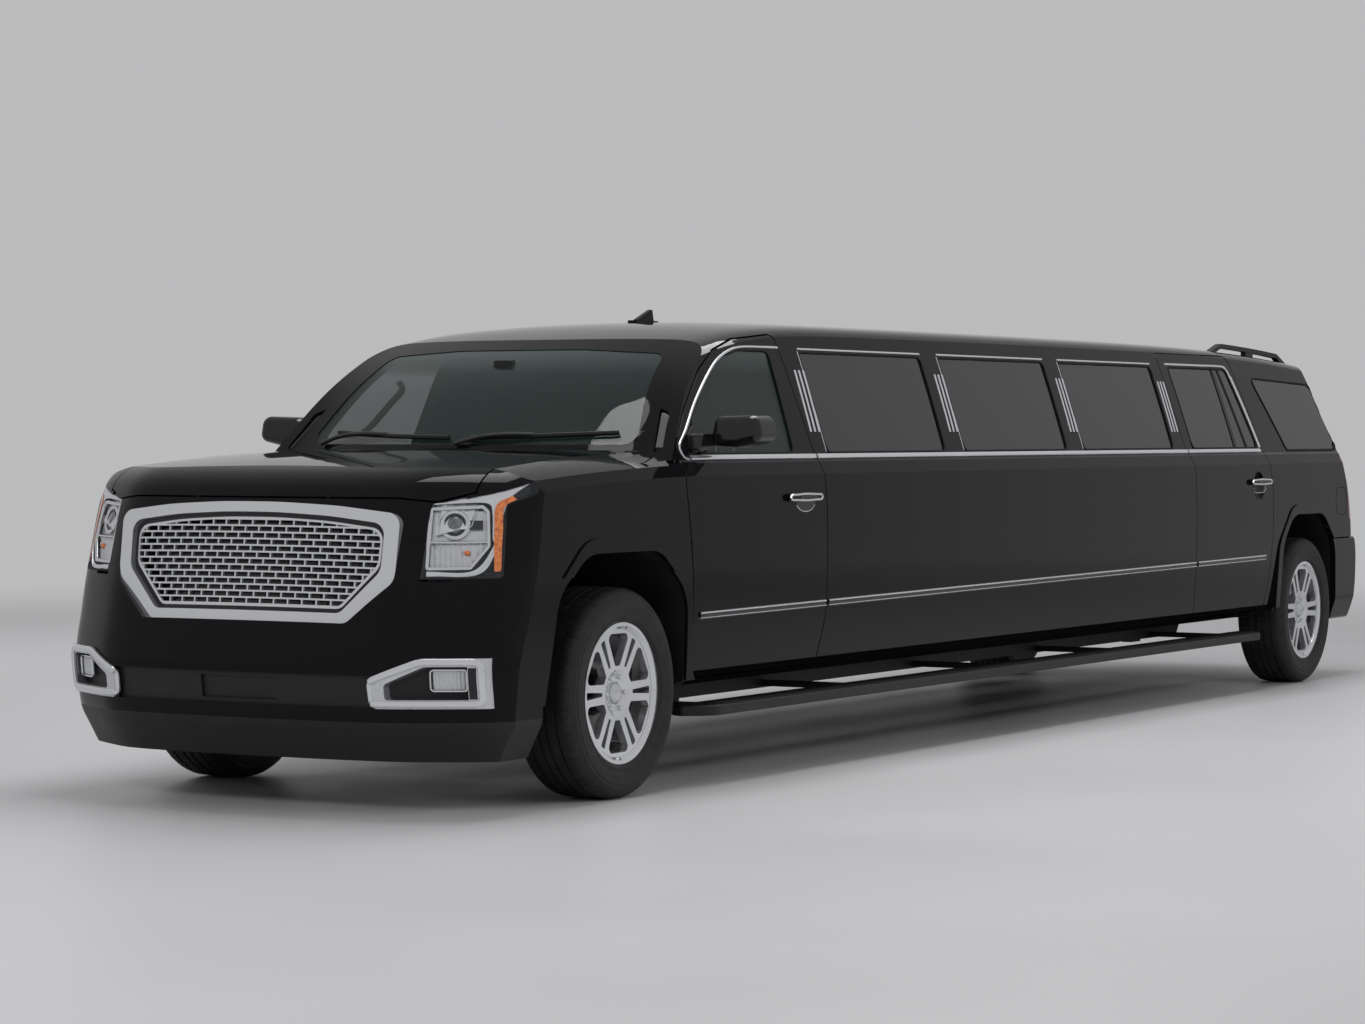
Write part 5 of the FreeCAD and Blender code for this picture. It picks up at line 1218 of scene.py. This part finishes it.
def add_front_seats():
    """Two bucket seats: shell, cushion, back, and headrest on posts."""
    seams = across_and_along(SEAT_WINGS, (0.03, -0.08))
    cushion = make_pad("seat_cushion_form", (0.240, 0.235, 0.058), 0.040, 0.022, seams, 0.022)
    seams = across_and_along(SEAT_WINGS, (0.12, 0.0, -0.12))
    back = make_pad("seat_back_form", (0.280, 0.225, 0.044), 0.036, 0.022, seams, 0.020)
    head = make_pad("headrest_form", (0.078, 0.118, 0.036), 0.032, 0.014)
    way = SEAT_LEAN.normalized()
    normal = Vector((-SEAT_LEAN.z, 0, SEAT_LEAN.x)).normalized()
    for side in SIDES:
        y = side * SEAT_Y
        tag = SUFFIX[side]
        back_middle = Vector((SEAT_BACK_X, y, SEAT_BACK_Z))
        lay_pad("seat_cushion_" + tag, cushion, (at(-1.472), y, 0.736), (1, 0, 0.04), UP, "front_seats")
        lay_pad("seat_back_" + tag, back, back_middle, SEAT_LEAN, (1, 0, 0.25), "front_seats")
        top = (at(-1.848), y, 1.425)
        lay_pad("headrest_" + tag, head, top, (-0.06, 0, 1), (1, 0, 0.1), "front_seats")
        shell = add_boxes("seat_shell_" + tag, [
            ((0.205, 0.195, 0.100), 0.020, 0.04, Vector((at(-1.470), y, 0.562))),
            ((0.270, 0.215, 0.012), 0.011, 0.03, back_middle + normal * 0.045, (way, ACROSS, normal)),
        ], CABIN)
        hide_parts("front_seats")

        def posts(shape):
            for shift in (-0.045, 0.045):
                path = even_path([(at(-1.838), y + shift, 1.290), (at(-1.846), y + shift, 1.375)], 4)
                sweep(shape, path, FORWARD, oval(0.006, 0.006, 10))

        post = mesh_object("headrest_posts_" + tag, posts, CHROME)
        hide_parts("front_seats")


def add_lounge():
    """The long bench down the right side and across the rear: plinth, seat and back cushions."""
    seams = across_and_along((), (0.10, -0.10))
    seat = make_pad("lounge_seat_form", (0.305, 0.212, 0.052), 0.040, 0.030, seams)
    back = make_pad("lounge_back_form", (0.305, 0.160, 0.040), 0.034, 0.030, seams)
    seams = across_and_along((), (0.08, -0.08))
    rear_seat = make_pad("lounge_rear_seat_form", (0.245, 0.205, 0.052), 0.040, 0.030, seams)
    rear_back = make_pad("lounge_rear_back_form", (0.245, 0.175, 0.046), 0.036, 0.030, seams)
    for i in range(6):
        x = at(-2.635) - LOUNGE_PITCH * i
        lay_pad("lounge_seat_%d" % i, seat, (x, -0.528, 0.790), FORWARD, UP, "lounge_bench")
        lay_pad("lounge_back_%d" % i, back, (x, -0.806, 1.020), FORWARD, (0, 1, 0.04), "lounge_bench")
    for i in range(3):
        y = -0.475 + LOUNGE_REAR_PITCH * i
        lay_pad("lounge_rear_seat_%d" % i, rear_seat, (at(-6.352), y, 0.790), ACROSS, UP, "lounge_bench")
        top = (at(-6.655), y, 1.045)
        lay_pad("lounge_rear_back_%d" % i, rear_back, top, ACROSS, (1, 0, 0.05), "lounge_bench")
    base = add_boxes("lounge_plinth", [
        ((1.90, 0.255, 0.135), 0.012, 0.10, Vector((at(-4.222), -0.575, 0.592))),
        ((0.290, 0.810, 0.135), 0.012, 0.10, Vector((at(-6.425), -0.030, 0.592))),
    ], PANEL)
    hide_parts("lounge_bench")


# Cabin lining

CARPET_RUNS = ((at(-6.05), at(-2.06)), (at(-1.98), at(-0.95)))
CARPET_Z = 0.4565
CARPET_HALF_WIDTH = 0.855
LINING_HALF_WIDTH = 0.62
LINING_FRONT = at(-1.42)
LINING_REAR = at(-7.80)
DOOR_CARDS = (("front", at(-0.62), at(-1.56)), ("rear", at(-5.87), at(-6.76)))
CARD_HEIGHTS = spread(0.50, 1.270, 14)
ARMREST_Z = 0.92
PILLAR_HANDLE = [
    (at(-0.735), 0.725, 1.400), (at(-0.765), 0.700, 1.430), (at(-0.860), 0.672, 1.520),
    (at(-0.925), 0.655, 1.580), (at(-0.930), 0.675, 1.615),
]


def laid_sheet(name, tree, starts, way, gap, thick, material, body="body"):
    """A thin sheet laid on the inside of a surface, from a grid of places that rays start at."""
    rows = []
    for places in starts:
        row = []
        for place in places:
            point, _ = cast(tree, place, way)
            row.append(point or row[-1])
        rows.append(row)
    add_slab(name, shifted(rows, way * -(gap + thick)), shifted(rows, way * -gap), material, body)


def add_door_lining(which, start, stop, side):
    """Door card and armrest of one door."""
    body = door_body(which, side)
    tag = "%s_%s" % (which, SUFFIX[side])
    tree = tree_of(["door_" + which[0] + SUFFIX[side]])
    way = ACROSS * side
    starts = [[(x, side * INSIDE_Y, z) for x in spread(start, stop, 20)] for z in CARD_HEIGHTS]
    laid_sheet("door_card_" + tag, tree, starts, way, 0.002, 0.006, PANEL, body)
    middle = (start + stop) / 2
    wall, _ = cast(tree, (middle, side * INSIDE_Y, ARMREST_Z), way)
    rest = Vector((middle, wall.y - side * 0.040, ARMREST_Z))
    add_boxes("armrest_" + tag, [((0.30, 0.034, 0.022), 0.016, 0.03, rest)], CABIN, body)


def add_lining():
    """Carpet, headlining, door cards with armrests, pillar handles and the inside mirror."""
    carpets = []
    for start, stop in CARPET_RUNS:
        middle = Vector(((start + stop) / 2, 0, CARPET_Z))
        carpets.append((((stop - start) / 2, CARPET_HALF_WIDTH, 0.004), 0.003, 0.15, middle))
    add_boxes("cabin_carpet", carpets, CARPET)
    columns = spread(-LINING_HALF_WIDTH, LINING_HALF_WIDTH, 16)
    starts = [[(x, y, INSIDE_Z) for y in columns] for x in spread(LINING_FRONT, LINING_REAR, 50)]
    laid_sheet("headlining", ROOF_TREE, starts, UP, 0.004, 0.003, LINING)
    for side in SIDES:
        for which, start, stop in DOOR_CARDS:
            add_door_lining(which, start, stop, side)
        grip = smooth_path([(x, side * y, z) for x, y, z in PILLAR_HANDLE], 24)
        add_strip("pillar_handle_" + SUFFIX[side], grip, FORWARD, oval(0.017, 0.012, 10), CABIN)
    add_boxes("inside_mirror", [
        ((0.012, 0.118, 0.032), 0.011, 0.02, Vector((at(-0.745), 0, 1.625))),
        ((0.022, 0.045, 0.028), 0.010, 0.02, Vector((at(-0.715), 0, 1.672))),
    ], BLACK)
    glass = ((0.002, 0.108, 0.025), 0.0015, 0.02, Vector((at(-0.758), 0, 1.625)))
    add_boxes("inside_mirror_glass", [glass], MIRROR)


BOARD_COLUMNS = spread(at(-0.72), at(-6.66), 60)
BOARD_ROWS = spread(0.948, 1.020, 4)


def add_running_board_ribs():
    """Grip ribs along the top of both running boards."""
    for side in SIDES:
        def ribs(shape):
            for y in BOARD_ROWS:
                places = [(x, side * y, 0.8) for x in BOARD_COLUMNS]
                sweep(shape, [cast(BOARD_TREE, place, -UP)[0] for place in places], UP, bead(0.009, 0.003))

        mesh_object("board_ribs_" + SUFFIX[side], ribs, SEAL)


# Tail: lines of (y, z) seen from behind

LIFT_BAR = ((-0.430, 1.110), (0.0, 1.118), (0.430, 1.110))
PLATE_FRAME = [(-0.270, 0.930, 0.02), (0.270, 0.930, 0.02), (0.270, 1.075, 0.02), (-0.270, 1.075, 0.02)]
REAR_WIPER_HUB = [(0.0001, 0.030), (0.014, 0.028), (0.019, 0.020), (0.020, -0.004), (0.0001, -0.004)]
REAR_WIPER_PIVOT = (0.0, 1.320)
REAR_WIPER_FORM = [(-0.004, -0.008), (0.006, -0.008), (0.010, 0.0), (0.006, 0.008), (-0.004, 0.008)]
REAR_WIPER_ARM = ((0.0, 1.322), (0.17, 1.345), (0.36, 1.352))
REAR_WIPER_BLADE = ((0.08, 1.332), (0.30, 1.342), (0.52, 1.346))


def tail_points(spots, proud=0.0):
    """Points on the tail at (y, z) places, which come as the x and z of vectors."""
    return [cast(TAIL_TREE, (BEHIND_X, p.x, p.z), FORWARD)[0] - FORWARD * proud for p in spots]


def add_tail_fittings():
    """Chrome lift bar, frame of the plate recess, and rear wiper on the tailgate."""
    back = -FORWARD
    bar = tail_points(smooth_path(flat(LIFT_BAR), 40))
    add_strip("lift_bar", bar, back, bead(0.036, 0.014), CHROME, "liftgate")
    ring = tail_points(rounded_loop(PLATE_FRAME, 100))
    add_strip("plate_frame", ring, back, bead(0.014, 0.005), BLACK, "liftgate", True)
    pivot = tail_points(flat([REAR_WIPER_PIVOT]))[0]
    add_turned("rear_wiper_hub", REAR_WIPER_HUB, pivot, back, 28, BLACK, "liftgate")
    arm = tail_points(smooth_path(flat(REAR_WIPER_ARM), 20), 0.013)
    add_strip("rear_wiper_arm", arm, back, REAR_WIPER_FORM, BLACK, "liftgate")
    blade = tail_points(smooth_path(flat(REAR_WIPER_BLADE), 24), 0.004)
    add_strip("rear_wiper_blade", blade, back, REAR_WIPER_FORM, SEAL, "liftgate")


# Studio

BACKDROP = (0.50, 0.50, 0.51)
FLOOR_HALF = 90.0
FLOOR_NEAR = 5.0
FLOOR_FAR = 18.0
CAMERA_PLACE = (at(11.7652), 8.0394, 1.4026)
CAMERA_YAW = math.radians(209.96)
CAMERA_PITCH = math.radians(-1.276)


def aim(thing, way):
    """Turn a camera or lamp to look along a direction."""
    thing.rotation_euler = way.to_track_quat("-Z", "Y").to_euler()


def add_camera():
    """The photograph's view: a long lens, low and to the car's front left."""
    data = bpy.data.cameras.new("camera")
    data.sensor_width = 36.0
    data.lens = 94.85
    data.clip_end = 200.0
    camera = bpy.data.objects.new("camera", data)
    link(camera)
    camera.location = CAMERA_PLACE
    level = math.cos(CAMERA_PITCH)
    way = Vector((math.cos(CAMERA_YAW) * level, math.sin(CAMERA_YAW) * level, math.sin(CAMERA_PITCH)))
    aim(camera, way)
    bpy.context.scene.camera = camera


def add_floor():
    """Pale studio floor that runs into the backdrop far from the car."""
    shape = bmesh.new()
    bmesh.ops.create_grid(shape, x_segments=2, y_segments=2, size=FLOOR_HALF)
    floor = object_from("floor", shape)
    finish = Finish("floor", BACKDROP, 0.42)
    finish.feed(finish.shader, {"Roughness": finish.range(finish.noise(0.6, 4.0), 0.34, 0.52)})
    glow = finish.add("Emission", {"Color": (*BACKDROP, 1)})
    reach = finish.add("VectorMath", {0: finish.place()}, "LENGTH")
    fade = finish.tree.nodes.new("ShaderNodeMapRange")
    fade.interpolation_type = "SMOOTHSTEP"
    finish.feed(fade, {"Value": reach["Value"], "From Min": FLOOR_NEAR, "From Max": FLOOR_FAR})
    share = finish.add("Math", {0: fade.outputs["Result"], 1: finish.seen_rays()}, "MULTIPLY")
    body = finish.shader.outputs["BSDF"]
    mix = finish.add("MixShader", {"Fac": share["Value"], 1: body, 2: glow["Emission"]})
    finish.feed(finish.tree.nodes["Material Output"], {"Surface": mix["Shader"]})
    floor.data.materials.append(finish.material)


def area_light(name, place, target, size, power, mirrored=False):
    """A soft rectangular lamp aimed at a point; only a mirrored one shows in glossy surfaces."""
    data = bpy.data.lights.new(name, "AREA")
    data.shape = "RECTANGLE"
    data.size, data.size_y = size
    data.energy = power
    light = bpy.data.objects.new(name, data)
    light.location = place
    light.visible_glossy = mirrored
    aim(light, Vector(target) - Vector(place))
    link(light)


def add_light():
    """Soft boxes above, in front and beside the car, and a pale world."""
    area_light("top_box", (0.0, 0.5, 6.5), (0, 0, 0), (9.0, 2.6), 420, True)
    area_light("front_box", (11.0, 1.5, 4.2), (4.0, 0, 0.8), (4.0, 1.6), 220)
    area_light("side_box", (2.0, 9.0, 5.0), (0.5, 0, 0.8), (9.0, 1.6), 260)
    area_light("far_box", (-2.0, -9.0, 5.0), (0, 0, 0.8), (9.0, 1.6), 240)
    world = bpy.data.worlds.new("world")
    bpy.context.scene.world = world
    world.use_nodes = True
    sky = Nodes(world.node_tree)
    strength = sky.range(sky.seen_rays(), 0.65, 1.0)
    sky.feed(sky.tree.nodes["Background"], {"Color": (*BACKDROP, 1), "Strength": strength})


dress_nodes()
add_side_trim()
add_handles()
add_headlamps()
add_fog_lamps()
add_tyres()
add_wheel_fittings()
add_mirror_glass()
add_wipers()
add_seals()
add_mirror_sails()
add_front_seats()
add_lounge()
add_lining()
add_running_board_ribs()
add_tail_fittings()
add_camera()
add_floor()
add_light()
bpy.context.scene.view_settings.view_transform = "Standard"
